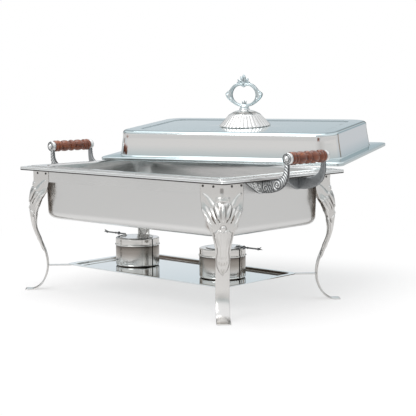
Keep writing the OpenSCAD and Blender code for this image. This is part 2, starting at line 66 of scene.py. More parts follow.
forward = np.array([-math.sin(AZIMUTH) * math.cos(PITCH), math.cos(AZIMUTH) * math.cos(PITCH),
                    -math.sin(PITCH)])
level_right = np.array([math.cos(AZIMUTH), math.sin(AZIMUTH), 0.0])
level_up = np.cross(level_right, forward)
right = math.cos(ROLL) * level_right + math.sin(ROLL) * level_up
up = math.cos(ROLL) * level_up - math.sin(ROLL) * level_right

camera_data = bpy.data.cameras.new("camera")
camera_data.lens = LENS_MM
camera_data.sensor_width = 36.0
camera = bpy.data.objects.new("camera", camera_data)
bpy.context.scene.collection.objects.link(camera)
turned = np.eye(4)
turned[:3, 0], turned[:3, 1], turned[:3, 2], turned[:3, 3] = right, up, -forward, CAMERA_AT
camera.matrix_world = Matrix(turned.tolist())
bpy.context.scene.camera = camera
print("camera at", CAMERA_AT, "lens", LENS_MM, "mm")

# %% [markdown]
# ## Studio
# Polished steel has hardly any colour of its own: it shows the room. So the room is designed
# first. Pale walls with a dark and a brown strip at each side give steel its pale faces and the
# dark lines at its round corners, and a cool frieze runs under the ceiling. The strips are placed
# for this one camera. The camera itself sees plain white, and a pale floor catches a soft
# shadow. The world could be a picture of a studio, but a few ramps are easier to change.

# %% Node helper
def add_node(tree, kind, *values, **settings):
    """A node of this kind. Values go to its inputs in order, and settings to the input or the
    attribute of that name. A value that is another node's socket is linked."""
    node = tree.nodes.new(kind)
    for key, value in (*enumerate(values), *settings.items()):
        if isinstance(key, str) and key not in node.inputs:
            setattr(node, key, value)
        elif isinstance(value, bpy.types.NodeSocket):
            tree.links.new(value, node.inputs[key])
        else:
            node.inputs[key].default_value = value
    return node


def ramp_between(tree, source, stops, interpolation="EASE"):
    """A colour ramp over source, with stops of (place, colour)."""
    node = tree.nodes.new("ShaderNodeValToRGB")
    node.color_ramp.interpolation = interpolation
    elements = node.color_ramp.elements
    while len(elements) < len(stops):
        elements.new(0.5)
    for element, (place, colour) in zip(elements, stops):
        element.position = place
        element.color = (*colour, 1.0)
    tree.links.new(source, node.inputs["Fac"])
    return node.outputs["Color"]


# %% Room
def grey(value, warm=0.0):
    return (value * (1 + warm), value, value * (1 - warm))


def build_world():
    """Light by direction: a ramp over the turn away from the camera's forward heading gives the
    walls, a ramp over height multiplies them by a dim cool frieze, and a second one blends them
    into the ceiling."""
    world = bpy.data.worlds.new("studio")
    bpy.context.scene.world = world
    world.use_nodes = True
    tree = world.node_tree
    tree.nodes.clear()
    place = add_node(tree, "ShaderNodeTexCoord")
    headed = add_node(tree, "ShaderNodeMapping", vector_type="VECTOR",
                      Rotation=(0, 0, -AZIMUTH), Vector=place.outputs["Generated"])
    split = add_node(tree, "ShaderNodeSeparateXYZ", headed.outputs["Vector"])
    # share of a full turn away from straight ahead: 0 ahead, 0.5 behind the camera
    angle = add_node(tree, "ShaderNodeMath", split.outputs["X"], split.outputs["Y"],
                     operation="ARCTAN2")
    share = add_node(tree, "ShaderNodeMath", angle.outputs[0], 0.5 / math.pi,
                     operation="MULTIPLY")
    away = add_node(tree, "ShaderNodeMath", share.outputs[0], operation="ABSOLUTE")
    dark, brown = grey(0.06, 0.25), grey(0.24, 0.2)
    pale, mid = grey(0.74, 0.005), grey(0.60, 0.01)
    ahead, cool = grey(0.80, -0.04), grey(0.66, -0.05)
    walls = ramp_between(tree, away.outputs[0], [
        (0.00, ahead), (0.03, ahead), (0.045, dark), (0.07, dark), (0.082, cool),
        (0.128, cool), (0.138, brown), (0.155, brown), (0.17, cool), (0.24, pale),
        (0.42, pale), (0.50, mid)], "LINEAR")
    height = add_node(tree, "ShaderNodeMath", split.outputs["Z"], 0.5, 0.5,
                      operation="MULTIPLY_ADD").outputs[0]
    ceiling = ramp_between(tree, height, [
        (0.0, grey(0.0)), (0.60, grey(0.0)), (0.74, grey(1.0)), (1.0, grey(1.0))])
    frieze = ramp_between(tree, height, [
        (0.0, grey(1.0)), (0.575, grey(1.0)), (0.605, (0.56, 0.66, 0.68)),
        (0.67, (0.56, 0.66, 0.68)), (0.74, grey(1.0))], "LINEAR")
    shaded = add_node(tree, "ShaderNodeMix", data_type="RGBA", blend_type="MULTIPLY",
                      Factor=1.0, A=walls, B=frieze)
    blend = add_node(tree, "ShaderNodeMix", data_type="RGBA", Factor=ceiling,
                     A=shaded.outputs["Result"], B=(0.98, 1.0, 1.02, 1.0))
    room = add_node(tree, "ShaderNodeBackground", blend.outputs["Result"], 1.0)
    plain = add_node(tree, "ShaderNodeBackground", (1, 1, 1, 1), 1.0)
    seen = add_node(tree, "ShaderNodeLightPath")
    choose = add_node(tree, "ShaderNodeMixShader", seen.outputs["Is Camera Ray"],
                      room.outputs[0], plain.outputs[0])
    add_node(tree, "ShaderNodeOutputWorld", Surface=choose.outputs[0])


build_world()
bpy.context.scene.view_settings.view_transform = "Standard"
print("studio walls built")

# %% Lamps and floor
def add_lamp(name, at, aim, size, watts):
    """A square soft lamp at one point, facing another."""
    data = bpy.data.lights.new(name, "AREA")
    data.size = size
    data.energy = watts
    lamp = bpy.data.objects.new(name, data)
    bpy.context.scene.collection.objects.link(lamp)
    away = np.subtract(at, aim) / np.linalg.norm(np.subtract(at, aim))
    across = np.cross((0, 0, 1), away)
    across /= np.linalg.norm(across)
    placed = np.eye(4)
    placed[:3, 0], placed[:3, 1], placed[:3, 2] = across, np.cross(away, across), away
    placed[:3, 3] = at
    lamp.matrix_world = Matrix(placed.tolist())


add_lamp("top_lamp", (-0.3, 0.1, 2.2), (0, 0.1, 0.2), 1.6, 16)
add_lamp("front_lamp", (0.2, -2.6, 1.7), (0, 0, 0.2), 1.4, 14)

FLOOR_HALF = 14.0


def build_floor():
    """One wide square just under the soles: pale where the shadow falls, white further out."""
    half = FLOOR_HALF
    mesh = bpy.data.meshes.new("floor")
    mesh.from_pydata([(-half, -half, 0), (half, -half, 0), (half, half, 0), (-half, half, 0)],
                     [], [(0, 1, 2, 3)])
    floor = bpy.data.objects.new("floor", mesh)
    bpy.context.scene.collection.objects.link(floor)
    material = bpy.data.materials.new("floor")
    material.use_nodes = True
    tree = material.node_tree
    tree.nodes.clear()
    place = add_node(tree, "ShaderNodeTexCoord")
    reach = add_node(tree, "ShaderNodeVectorMath", place.outputs["Object"], operation="LENGTH")
    fade = add_node(tree, "ShaderNodeMapRange", reach.outputs["Value"], 0.3, 1.1, 0.55, 1.0,
                    interpolation_type="SMOOTHSTEP")
    seen = add_node(tree, "ShaderNodeLightPath")
    glow = add_node(tree, "ShaderNodeMix", data_type="FLOAT",
                    Factor=seen.outputs["Is Camera Ray"], A=0.68, B=1.0)
    white = add_node(tree, "ShaderNodeEmission", Strength=glow.outputs[0])
    paint = add_node(tree, "ShaderNodeBsdfDiffuse", Color=(0.95, 0.93, 0.92, 1))
    mixed = add_node(tree, "ShaderNodeMixShader", fade.outputs[0], paint.outputs[0],
                     white.outputs[0])
    add_node(tree, "ShaderNodeOutputMaterial", Surface=mixed.outputs[0])
    mesh.materials.append(material)


build_floor()
print("floor and two lamps placed")

# %% [markdown]
# ## Finishes
# Rolled sheet steel is never one flat grey. Rolling and polishing leave faint streaks along the
# sheet, a slow cloudiness and fine grain, and they show as small changes of roughness. The plain
# finishes take their roughness and bump from stretched noise. The others are coloured by an
# attribute called hollow that each piece carries. On the carved silver pieces it follows the
# relief, as a patina does. On the pressed legs it paints shade into the recesses of the relief.
# On the water pan, tray, cups and lid it paints in dark reflections that the simple room can't
# give from this camera, so there it isn't the metal's own colour.

# %% Sheet metal finishes
def new_finish(name):
    """An empty finish: the material, its node tree, its shader and the place on the piece."""
    material = bpy.data.materials.new(name)
    material.use_nodes = True
    tree = material.node_tree
    place = add_node(tree, "ShaderNodeTexCoord").outputs["Object"]
    return material, tree, tree.nodes["Principled BSDF"], place


def add_bump(tree, shader, height, strength, depth):
    """Small bumps on a finish: depth is in metres."""
    bump = add_node(tree, "ShaderNodeBump", Strength=strength, Distance=depth, Height=height)
    tree.links.new(bump.outputs[0], shader.inputs["Normal"])


def metal(name, colour, roughness, spread, streak, grain=0.0, cloud=0.04):
    """A metal shader: streaked noise moves the roughness by +-spread, low noise clouds the
    colour, and grain is the depth in metres of a fine bump."""
    material, tree, shader, place = new_finish(name)
    shader.inputs["Metallic"].default_value = 1.0
    stretch = add_node(tree, "ShaderNodeMapping", Scale=streak, Vector=place)
    lines = add_node(tree, "ShaderNodeTexNoise", Scale=1.0, Detail=4.0,
                     Vector=stretch.outputs[0]).outputs["Fac"]
    rough = add_node(tree, "ShaderNodeMapRange", lines, 0.3, 0.7,
                     roughness - spread, roughness + spread)
    tree.links.new(rough.outputs[0], shader.inputs["Roughness"])
    haze = add_node(tree, "ShaderNodeTexNoise", Scale=9.0, Detail=3.0, Vector=place)
    dim = tuple(c * (1 - cloud) for c in colour)
    tree.links.new(ramp_between(tree, haze.outputs["Fac"], [(0.3, dim), (0.7, colour)]),
                   shader.inputs["Base Color"])
    if grain:
        add_bump(tree, shader, lines, 1.0, grain)
    return material


satin = metal("satin_sheet", (0.79, 0.785, 0.775), 0.24, 0.05, (14, 14, 900), grain=0.00001)
bright = metal("bright_sheet", (0.82, 0.825, 0.82), 0.10, 0.03, (20, 20, 400), cloud=0.06)
# a darker copy of the satin sheet: painted shade for the food pan sunk inside the stand
inside = metal("pan_inside", (0.70, 0.69, 0.68), 0.20, 0.06, (14, 14, 700))
# a dark finish of painted shade: the shadow along the rim lip's lower edge, and the leg rivets
painted_dark_shade = metal("painted_dark_shade", (0.10, 0.095, 0.09), 0.35, 0.05, (200, 200, 200))
fixings = metal("fixings", (0.66, 0.65, 0.63), 0.25, 0.05, (500, 500, 500))


def patina_and_painted_shade_metal(name, stops, smooth=0.18, dull=0.5, spots_depth=0.3, pits=0.00015):
    """Metal coloured by the piece's own hollow attribute, from 0 to 1. On the carved silver pieces
    it is a patina, 0 on a crest and 1 in a recess. On the legs it is painted shade in the recesses,
    and on the pans, tray, cups and lid painted reflections. With a little spotted noise added, it
    runs through the colour stops and from a smooth to a dull roughness. pits is the depth in
    metres of the fine bump."""
    material, tree, shader, place = new_finish(name)
    shader.inputs["Metallic"].default_value = 1.0
    hollow = add_node(tree, "ShaderNodeAttribute", attribute_name="hollow")
    spots = add_node(tree, "ShaderNodeTexNoise", Scale=420.0, Detail=4.0,
                     Vector=place).outputs["Fac"]
    patina_and_shade = add_node(tree, "ShaderNodeMath", spots, spots_depth, hollow.outputs["Fac"],
                    operation="MULTIPLY_ADD").outputs[0]
    tree.links.new(ramp_between(tree, patina_and_shade, stops), shader.inputs["Base Color"])
    rough = add_node(tree, "ShaderNodeMapRange", patina_and_shade, 0.0, 1.0, smooth, dull)
    tree.links.new(rough.outputs[0], shader.inputs["Roughness"])
    add_bump(tree, shader, spots, 0.6, pits)
    return material


silver = patina_and_painted_shade_metal("antique_silver", [
    (0.2, (0.84, 0.84, 0.83)), (0.5, (0.62, 0.63, 0.63)), (0.85, (0.27, 0.28, 0.29)),
    (1.0, (0.12, 0.12, 0.12))])
pale_silver = patina_and_painted_shade_metal("pale_silver", [
    (0.15, (0.82, 0.87, 0.88)), (0.6, (0.56, 0.64, 0.66)), (1.0, (0.22, 0.27, 0.29))], 0.15, 0.35)
fluted_silver = patina_and_painted_shade_metal("fluted_silver", [
    (0.1, (0.78, 0.775, 0.765)), (0.5, (0.60, 0.59, 0.57)), (0.9, (0.12, 0.11, 0.10))],
    0.1, 0.3, 0.1, 0.00002)
# the leg's darker stops are painted shade in the recesses of its pressing
leg_steel = patina_and_painted_shade_metal("pressed_leg_sheet", [
    (0.1, (0.79, 0.772, 0.75)), (0.5, (0.52, 0.50, 0.48)), (1.0, (0.10, 0.09, 0.085))],
    0.22, 0.4, 0.15, 0.00004)
# the darker and cooler stops of the tray, pan, cup and lid finishes are painted reflections
tray_steel = patina_and_painted_shade_metal("tray_sheet", [
    (0.1, (0.90, 0.94, 0.95)), (0.5, (0.34, 0.29, 0.25)), (1.0, (0.12, 0.09, 0.07))],
    0.06, 0.25, 0.05, 0.000004)
pan_steel = patina_and_painted_shade_metal("pan_sheet", [
    (0.1, (0.79, 0.785, 0.775)), (0.6, (0.44, 0.39, 0.35)), (1.0, (0.13, 0.10, 0.08))],
    0.2, 0.3, 0.1, 0.00001)
cup_steel = patina_and_painted_shade_metal("cup_sheet", [
    (0.1, (0.80, 0.78, 0.755)), (0.6, (0.36, 0.33, 0.30)), (1.0, (0.07, 0.05, 0.04))],
    0.10, 0.3, 0.1, 0.00001)
lid_steel = patina_and_painted_shade_metal("lid_sheet", [
    (0.1, (0.84, 0.835, 0.825)), (0.7, (0.57, 0.66, 0.68)), (0.78, (0.57, 0.66, 0.68)),
    (1.0, (0.20, 0.25, 0.27))], 0.10, 0.08, 0.06, 0.000004)


def lacquered_wood():
    """Red-brown hardwood under gloss: stretched noise for the grain, fine pores along it, and a
    clear coat set on the shader itself."""
    material, tree, shader, place = new_finish("lacquered_wood")
    shader.inputs["Coat Weight"].default_value = 0.45
    shader.inputs["Coat Roughness"].default_value = 0.08
    stretch = add_node(tree, "ShaderNodeMapping", Scale=(150, 18, 150), Vector=place)
    figure = add_node(tree, "ShaderNodeTexNoise", Scale=1.0, Detail=5.0, Distortion=1.2,
                      Vector=stretch.outputs[0]).outputs["Fac"]
    tree.links.new(ramp_between(tree, figure, [
        (0.28, (0.06, 0.012, 0.004)), (0.48, (0.18, 0.042, 0.014)), (0.72, (0.35, 0.10, 0.03))]),
        shader.inputs["Base Color"])
    pores = add_node(tree, "ShaderNodeMapRange", figure, 0.0, 1.0, 0.22, 0.4)
    tree.links.new(pores.outputs[0], shader.inputs["Roughness"])
    add_bump(tree, shader, figure, 0.3, 0.0001)
    return material


wood = lacquered_wood()
print("finishes:", [m.name for m in bpy.data.materials])

# %% [markdown]
# ## From a grid to a piece
# Every new piece is a grid of points, rows by columns, and two small helpers turn any grid into
# a mesh. Subdivision surfaces could round simple blocks too, but a formula puts each bend
# exactly where the CAD part has it.

# %% Grid helpers
def cells(rows, cols, wrap_rows=False, wrap_cols=False):
    """The four corner numbers of every cell of a rows x cols grid, which may join end to start."""
    r, c = np.meshgrid(np.arange(rows - (not wrap_rows)), np.arange(cols - (not wrap_cols)),
                       indexing="ij")
    r2, c2 = (r + 1) % rows, (c + 1) % cols
    return np.stack([r * cols + c, r * cols + c2, r2 * cols + c2, r2 * cols + c], -1).reshape(-1, 4)


def soft_step(x, low, high):
    """0 below low, 1 above high, and 3u^2 - 2u^3 between."""
    u = np.clip((x - low) / (high - low), 0, 1)
    return u * u * (3 - 2 * u)


def all_round(count):
    """Even angles round a full circle, as one row."""
    return np.linspace(0, 2 * np.pi, count, endpoint=False)[None]


def enclosed(points, faces):
    """Signed volume of a mesh: the sum over triangles of a . (b x c) / 6."""
    total = 0.0
    for k in range(1, faces.shape[1] - 1):
        a, b, c = points[faces[:, 0]], points[faces[:, k]], points[faces[:, k + 1]]
        total += float(np.einsum("ij,ij->i", a, np.cross(b, c)).sum()) / 6
    return total


def make_piece(name, grid, material, body, stands_for=(), wrap_rows=False, wrap_cols=False,
               caps=(), keep=None, hollow=None, outward=None):
    """One piece from a grid of points. caps lists 'start' and 'end' rows to close with a fan
    about their middle. keep is a mask of cells, for pierced work. outward turns an open sheet's
    faces towards that direction; a closed one is turned by its volume."""
    rows, cols = grid.shape[:2]
    points = grid.reshape(-1, 3)
    quads = cells(rows, cols, wrap_rows, wrap_cols)
    if keep is not None:
        quads = quads[keep.reshape(-1)]
    fans = []
    for where in caps:
        ring = np.arange(cols) + (0 if where == "start" else (rows - 1) * cols)
        hub = len(points)
        points = np.vstack([points, points[ring].mean(0)])
        pair = np.stack([np.full(cols, hub), np.roll(ring, -1), ring], -1)
        fans.append(pair if where == "start" else pair[:, ::-1])
    fans = np.concatenate(fans) if fans else np.zeros((0, 3), int)
    if outward is None:
        inside_out = enclosed(points, quads) + enclosed(points, fans) < 0
    else:
        a, b, d = points[quads[:, 0]], points[quads[:, 1]], points[quads[:, 3]]
        inside_out = float((np.cross(b - a, d - a) @ np.asarray(outward, float)).sum()) < 0
    if inside_out:
        quads, fans = quads[:, ::-1], fans[:, ::-1]
    mesh = bpy.data.meshes.new(name)
    mesh.from_pydata(points.tolist(), [], quads.tolist() + fans.tolist())
    if hollow is not None:
        values = np.concatenate([np.ravel(hollow), np.zeros(len(points) - rows * cols)])
        mesh.attributes.new("hollow", "FLOAT", "POINT").data.foreach_set("value", values)
    mesh.polygons.foreach_set("use_smooth", np.ones(len(mesh.polygons), bool))
    mesh.materials.append(material)
    mesh.update()
    piece = bpy.data.objects.new(name, mesh)
    bpy.context.scene.collection.objects.link(piece)
    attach(piece, body)
    if stands_for:
        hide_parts(*stands_for)
    print(f"{name}: {len(points)} points on {body}")
    return piece


def thicken(piece, thickness, offset=-1.0):
    """Gives an open sheet its metal thickness, inwards from its faces by default."""
    wall = piece.modifiers.new("thickness", "SOLIDIFY")
    wall.thickness = thickness
    wall.offset = offset
    wall.use_even_offset = False
    return piece


# %% [markdown]
# ## Oblong shells
# The pans, the lid, the rim and the tray are all drawn from sheet over an oblong tool, so they
# share one shape: a bent profile carried round a rectangle with round corners. The profile is a
# few corners, each with a bend radius, and the helper replaces each corner by a curve.

# %% Profile and oblong helpers
def bent(profile, steps=6):
    """Profile corners (inset, height, plan radius, bend), rounded: between two tangent points a
    corner becomes a quadratic curve, with one more point beside each end so that flats stay
    flat. Returns rows of (inset, height, plan radius)."""
    p = np.array(profile, float)
    at, bend = p[:, :3], p[:, 3]
    reach = np.linalg.norm(np.diff(at[:, :2], axis=0), axis=1)
    rows = [at[:1]]
    t = np.linspace(0, 1, steps + 1)[:, None]
    for i in range(1, len(at) - 1):
        pull = min(bend[i], 0.45 * reach[i - 1], 0.45 * reach[i])
        before = at[i] + (at[i - 1] - at[i]) * pull / reach[i - 1]
        after = at[i] + (at[i + 1] - at[i]) * pull / reach[i]
        near = before + 0.2 * (before - at[i])
        past = after + 0.2 * (after - at[i])
        curve = (1 - t) ** 2 * before + 2 * t * (1 - t) * at[i] + t ** 2 * after
        rows.append(np.vstack([near, curve, past]))
    rows.append(at[-1:])
    return np.vstack(rows)


CORNER_STEPS = 12
SIDE_SHARES = np.array([0.02, 0.25, 0.5, 0.75, 0.98])
PER_CORNER = CORNER_STEPS + 1 + len(SIDE_SHARES)


def oblong(profile, half_l, half_w, corner_steps=CORNER_STEPS):
    """Carries a bent profile round an oblong: each row is a rectangle inset by the profile's
    first value, at its height, with arcs of its plan radius. Each arc's points are followed by
    five along the next side."""
    inset, height, radius = bent(profile).T
    quarter = np.arange(4)[None, :, None]
    sign_x = np.array([1, -1, -1, 1])[None, :, None]
    sign_y = np.array([1, 1, -1, -1])[None, :, None]
    turn = np.radians(90 * quarter + np.linspace(0, 90, corner_steps + 1)[None, None, :])
    r = np.minimum(radius, np.minimum(half_l, half_w) - inset - 1e-4)[:, None, None]
    x = sign_x * ((half_l - inset)[:, None, None] - r) + r * np.cos(turn)
    y = sign_y * ((half_w - inset)[:, None, None] - r) + r * np.sin(turn)
    arcs = np.stack([x, y, np.broadcast_to(height[:, None, None], x.shape)], -1)
    first = np.roll(arcs[:, :, :1], -1, axis=1)
    share = SIDE_SHARES[None, None, :, None]
    sides = arcs[:, :, -1:] * (1 - share) + first * share
    ring = np.concatenate([arcs, sides], axis=2).reshape(len(inset), -1, 3)
    return ring * MM


def middle(node):
    """Centre of a CAD node's box, and its half sizes in millimetres."""
    low, high = (np.array(c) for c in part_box(node))
    return (low + high) / 2, (high - low) / 2 / MM


def heights(node):
    """Bottom and top of a CAD node's box, in millimetres."""
    return [float(corner.z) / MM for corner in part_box(node)]


# %% [markdown]
# ## Pans
# A water pan hangs in the stand by its flange, and the food pan hangs in the water pan. Both are
# deep drawn, so their sides lean in a little and every bend is round. Only one skin is made, and
# Solidify gives it the thickness of the sheet.

# %% Water pan
SHEET = 1.0
water_half = middle("water_pan")[1]
water_low, water_top = heights("water_pan")
SEAT = 18.0          # width of the water pan's flange
body_l = water_half[0] - SEAT
water_profile = [
    (0.0, water_top - 0.9, 14, 0), (0.0, water_top, 14, 0.5), (SEAT + SHEET, water_top, 44, 3),
    (SEAT + SHEET + 0.3, water_top - 12, 44, 4), (SEAT + SHEET + 3, water_low + SHEET, 42, 15),
    (SEAT + 110, water_low + SHEET, 14, 0)]
water_grid = oblong(water_profile, water_half[0], water_half[1])
# painted reflections: two wavering dark bands, one to each side of every corner's middle
step_here = np.arange(water_grid.shape[1]) % PER_CORNER
rise = water_grid[..., 2] / MM
band = np.abs(step_here[None] - CORNER_STEPS / 2) - 3.6 + 0.8 * np.sin(rise / 11)
bands = np.exp(-(band / 2.0) ** 2) * (step_here <= CORNER_STEPS)[None]
bands = 0.95 * bands * soft_step(rise, water_low + 4, water_low + 25) * (rise < water_top - 10)
water = make_piece("water_pan_shell", water_grid, pan_steel, "water_pan",
                   ["water_pan"], wrap_cols=True, caps=["end"], hollow=bands, outward=(0, 0, 1))
thicken(water, SHEET * MM)

# %% Food pan
food_half = middle("food_pan")[1]
food_low, food_top = heights("food_pan")
food_edge = food_half[0] - (body_l - 5) + SHEET
food_profile = [
    (0.0, food_top - 0.9, 12, 0), (0.0, food_top, 12, 0.5), (food_edge, food_top, 36, 3.5),
    (food_edge + 1.4, food_top - 9, 35, 3), (food_edge + 8, food_low + SHEET, 32, 14),
    (food_edge + 110, food_low + SHEET, 10, 0)]
# the food pan's darker finish is painted shade
food = make_piece("food_pan_shell", oblong(food_profile, food_half[0], food_half[1]), inside,
                  "food_pan", ["food_pan"], wrap_cols=True, caps=["end"],
                  outward=(0, 0, 1))
thicken(food, SHEET * MM)

# %% [markdown]
# ## Stand
# The rim is an angle section with a turned-down lip, folded from one strip. Its fold is what
# catches the light along the whole front, so it gets a true bend.

# %% Rim
RIM_SHEET = 1.6
rim_half = middle("rim_frame")[1]
rim_low, rim_top = heights("rim_frame")
well = rim_half[0] - body_l - 2
rim_profile = [
    (0.0, rim_low, 8, 0), (0.0, rim_low + 2.2, 8, 0), (0.0, rim_top, 8, 2.4),
    (well * 0.5, rim_top, 20, 3),
    (well, rim_top, 47, 0)]
rim_grid = oblong(rim_profile, rim_half[0], rim_half[1])
rim = make_piece("rim", rim_grid, satin, "stand", ["rim_frame"], wrap_cols=True,
                 outward=(0, 0, 1))
rim.data.materials.append(painted_dark_shade)
# the lowest row of cells is shaded dark, to stand for the lip's edge in its own shadow
lip_cells = rim_grid.shape[1]
finish = np.repeat(np.array([1, 0], np.int32), [lip_cells, len(rim.data.polygons) - lip_cells])
rim.data.polygons.foreach_set("material_index", finish)
thicken(rim, RIM_SHEET * MM)

# %% [markdown]
# ## Fuel tray
# The tray is a shallow pressing polished like a mirror. Its sunk floor and thin turned edge are
# the same kind of oblong as the pans, so the same helper draws it.

# %% Tray
tray_half = middle("fuel_tray")[1]
tray_low, tray_top = heights("fuel_tray")
tray_floor = tray_low + SHEET
tray_profile = [
    (0.0, tray_top - 1.5, 18, 0), (0.0, tray_top, 18, 1.0), (11, tray_top, 14, 2.5),
    (15, tray_floor, 10, 2.5), (100, tray_floor, 8, 0)]
tray_grid = oblong(tray_profile, tray_half[0], tray_half[1])
# painted reflection: the far sloping wall is dark, most of all half way down
dip = (tray_top - tray_grid[..., 2] / MM) / (tray_top - tray_floor)
far_wall = np.clip(1 - np.abs(dip - 0.5) / 0.5, 0, 1) * soft_step(tray_grid[..., 1], 0.0, 0.05)
tray = make_piece("tray", tray_grid, tray_steel, "stand", ["fuel_tray"],
                  wrap_cols=True, caps=["end"], hollow=far_wall ** 0.4, outward=(0, 0, 1))
thicken(tray, SHEET * MM)

# %% [markdown]
# ## Legs
# Each leg is one pressed sheet: a right-angled bracket riveted round the stand's corner that
# narrows into a flat strap and turns out in a toe. The ornament is pressed in from behind, with
# a few slits cut right through. Displacement from a painted picture is the usual way to get
# such relief, but here it's a sum of small formulas over the sheet, so each petal and rib can be
# moved by its own numbers.

# %% Leg line
skirt_high = np.array(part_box("skirt")[1])
LEG_SHEET = 1.6
corner_x = skirt_high[0] / MM + LEG_SHEET
corner_y = skirt_high[1] / MM + LEG_SHEET
leg_top = skirt_high[2] / MM
RIDGE_R = 14.7
ridge_out = -RIDGE_R * (math.sqrt(2) - 1)
FLANK_HALF = 55 / math.sqrt(2)
# out along the corner's diagonal, height, how sharply the sheet is creased, half width
LEG_LINE = np.array([
    (14, 1.6, 0.0, 11.5), (12.5, 1.6, 0.0, 13), (3, 1.6, 0.0, 13), (-7, 4.6, 0.1, 13),
    (-19, 15.1, 0.25, 13), (-27.5, 34.2, 0.3, 13), (-29.7, 54.2, 0.3, 13), (-25.8, 76.8, 0.3, 13),
    (-16.6, 99.3, 0.35, 13), (-7, 121.9, 0.5, 13.6), (-2.5, 137, 0.7, 15.6),
    (0, 151, 0.85, 18.7), (1.4, 160, 0.88, 22), (2.4, 169, 0.9, 25.6), (2.8, 180, 0.9, 29.5),
    (2.2, 190, 0.91, 33), (0, 202, 0.92, 36), (-4.5, 215, 0.98, 37.5),
    (ridge_out, 226, 1, 38.7), (ridge_out, 240, 1, FLANK_HALF),
    (ridge_out, leg_top, 1, FLANK_HALF)])


def smooth_line(points, steps):
    """Catmull-Rom curve: between two points b and c, with neighbours a and d, the value at u is
    (2b + (c-a)u + (2a-5b+4c-d)u^2 + (3b-a-3c+d)u^3) / 2."""
    p = np.vstack([2 * points[0] - points[1], points, 2 * points[-1] - points[-2]])
    a, b, c, d = (p[i:len(p) - 3 + i][:, None] for i in range(4))
    u = np.linspace(0, 1, steps, endpoint=False)[None, :, None]
    curve = (2 * b + (c - a) * u + (2 * a - 5 * b + 4 * c - d) * u ** 2
             + (3 * b - a - 3 * c + d) * u ** 3) / 2
    return np.vstack([curve.reshape(-1, p.shape[1]), points[-1:]])


rough_line = smooth_line(LEG_LINE, 24)
rough_line[:, 1] = np.maximum(rough_line[:, 1], LEG_SHEET)
walked = np.concatenate([[0], np.cumsum(np.hypot(*np.diff(rough_line[:, :2], axis=0).T))])
above = walked[np.argmax(rough_line[:, 1] > 82)]
leg_steps = np.concatenate([np.arange(0, above, 2.2), np.arange(above, walked[-1], 0.8),
                            [walked[-1]]])
leg_line = np.stack([np.interp(leg_steps, walked, rough_line[:, k]) for k in range(4)], -1)
print("leg rows:", len(leg_line), "length along the sheet:", round(walked[-1]), "mm")


# %% Leg relief
def petal(t, z, foot, tip, width, height, round_end=0.6):
    """A raised teardrop between two points. Its half width along the way is width times
    sin(pi u) to a power, and its height across is 1 - (distance / half width) squared."""
    step = np.subtract(tip, foot)
    long = np.hypot(*step)
    u = ((t - foot[0]) * step[0] + (z - foot[1]) * step[1]) / long ** 2
    off = ((z - foot[1]) * step[0] - (t - foot[0]) * step[1]) / long
    half = width * np.sin(np.pi * np.clip(u, 0.001, 0.999)) ** round_end
    return height * np.clip(1 - (off / half) ** 2, 0, None) * ((u > 0) & (u < 1))


def leg_relief(t, z):
    """Height of the pressing in mm at t across and z up: a fan of petals over a ball, lobes
    at the sides, and a ribbed leaf that hangs from the ball to the strap."""
    m = np.abs(t)
    h = 1.3 * soft_step(z, 214.5, 216) * soft_step(-z, -223, -221) * soft_step(-m, -13, -10)
    h -= 0.7 * np.exp(-((m / 5.5) ** 2 + ((z - 213.5) / 1.3) ** 2))
    h -= 0.8 * np.exp(-((t + 2) / 3.2) ** 4 - ((z - 234) / 5) ** 4)
    fan = soft_step(z, 172, 178) * soft_step(-z, -214, -211)
    h += petal(m, z, (0, 181), (0, 213), 3.6, 1.6)
    h += petal(m, z, (6.5, 184), (14, 213), 3.8, 1.9)
    h += petal(m, z, (12, 178), (22.5, 208), 2.4, 1.2)
    h += petal(m, z, (16.5, 178), (29, 207), 2.2, 1.1)
    h += petal(m, z, (15.5, 209), (34, 228), 5.0, 1.4, 0.45)
    h += petal(m, z, (19, 168), (34, 200), 2.2, 1.1)
    h += petal(m, z, (17, 150), (27, 186), 2.6, 1.0)
    angle = np.arctan2(m, z - 146)
    h += 0.25 * fan * np.cos(angle * 58) * soft_step(m, 3, 8)
    h += 2.2 * np.sqrt(np.clip(1 - (m ** 2 + (z - 169) ** 2) / 4.2 ** 2, 0, None))
    h -= 0.6 * np.exp(-((np.hypot(m, z - 169) - 5.6) / 1.0) ** 2)
    # hanging leaf: its edge, then ribs that follow the edge, then a groove round it
    edge = np.interp(z, [82, 84, 90, 97, 104, 114, 124, 136, 150, 160, 166],
                     [0.01, 2.5, 6.8, 9.6, 10.8, 10.6, 9.5, 10.0, 14.0, 15.5, 9.0])
    q = m / edge
    leaf = soft_step(-q, -1.0, -0.82) * soft_step(-z, -167, -163)
    h += leaf * (1.3 + 0.65 * np.cos(q * 15.7 + 0.4) * soft_step(q, 0.02, 0.2))
    h += leaf * 0.5 * np.cos((z - 3.2 * m) * 0.55) * soft_step(-z, -125, -100)
    h -= 0.8 * np.exp(-((q - 1.1) / 0.08) ** 2) * (z > 83) * (z < 160)
    h += petal(m, z, (8, 128), (15, 160), 2.4, 0.8)
    return h


# slits: middle (across, height), half length, half width, lean from upright in degrees
SLITS = [((7.6, 182.6), 4.4, 1.6, 24), ((16.8, 184.5), 9.6, 1.35, 21.5),
         ((14.4, 153.8), 3.9, 1.2, 20)]


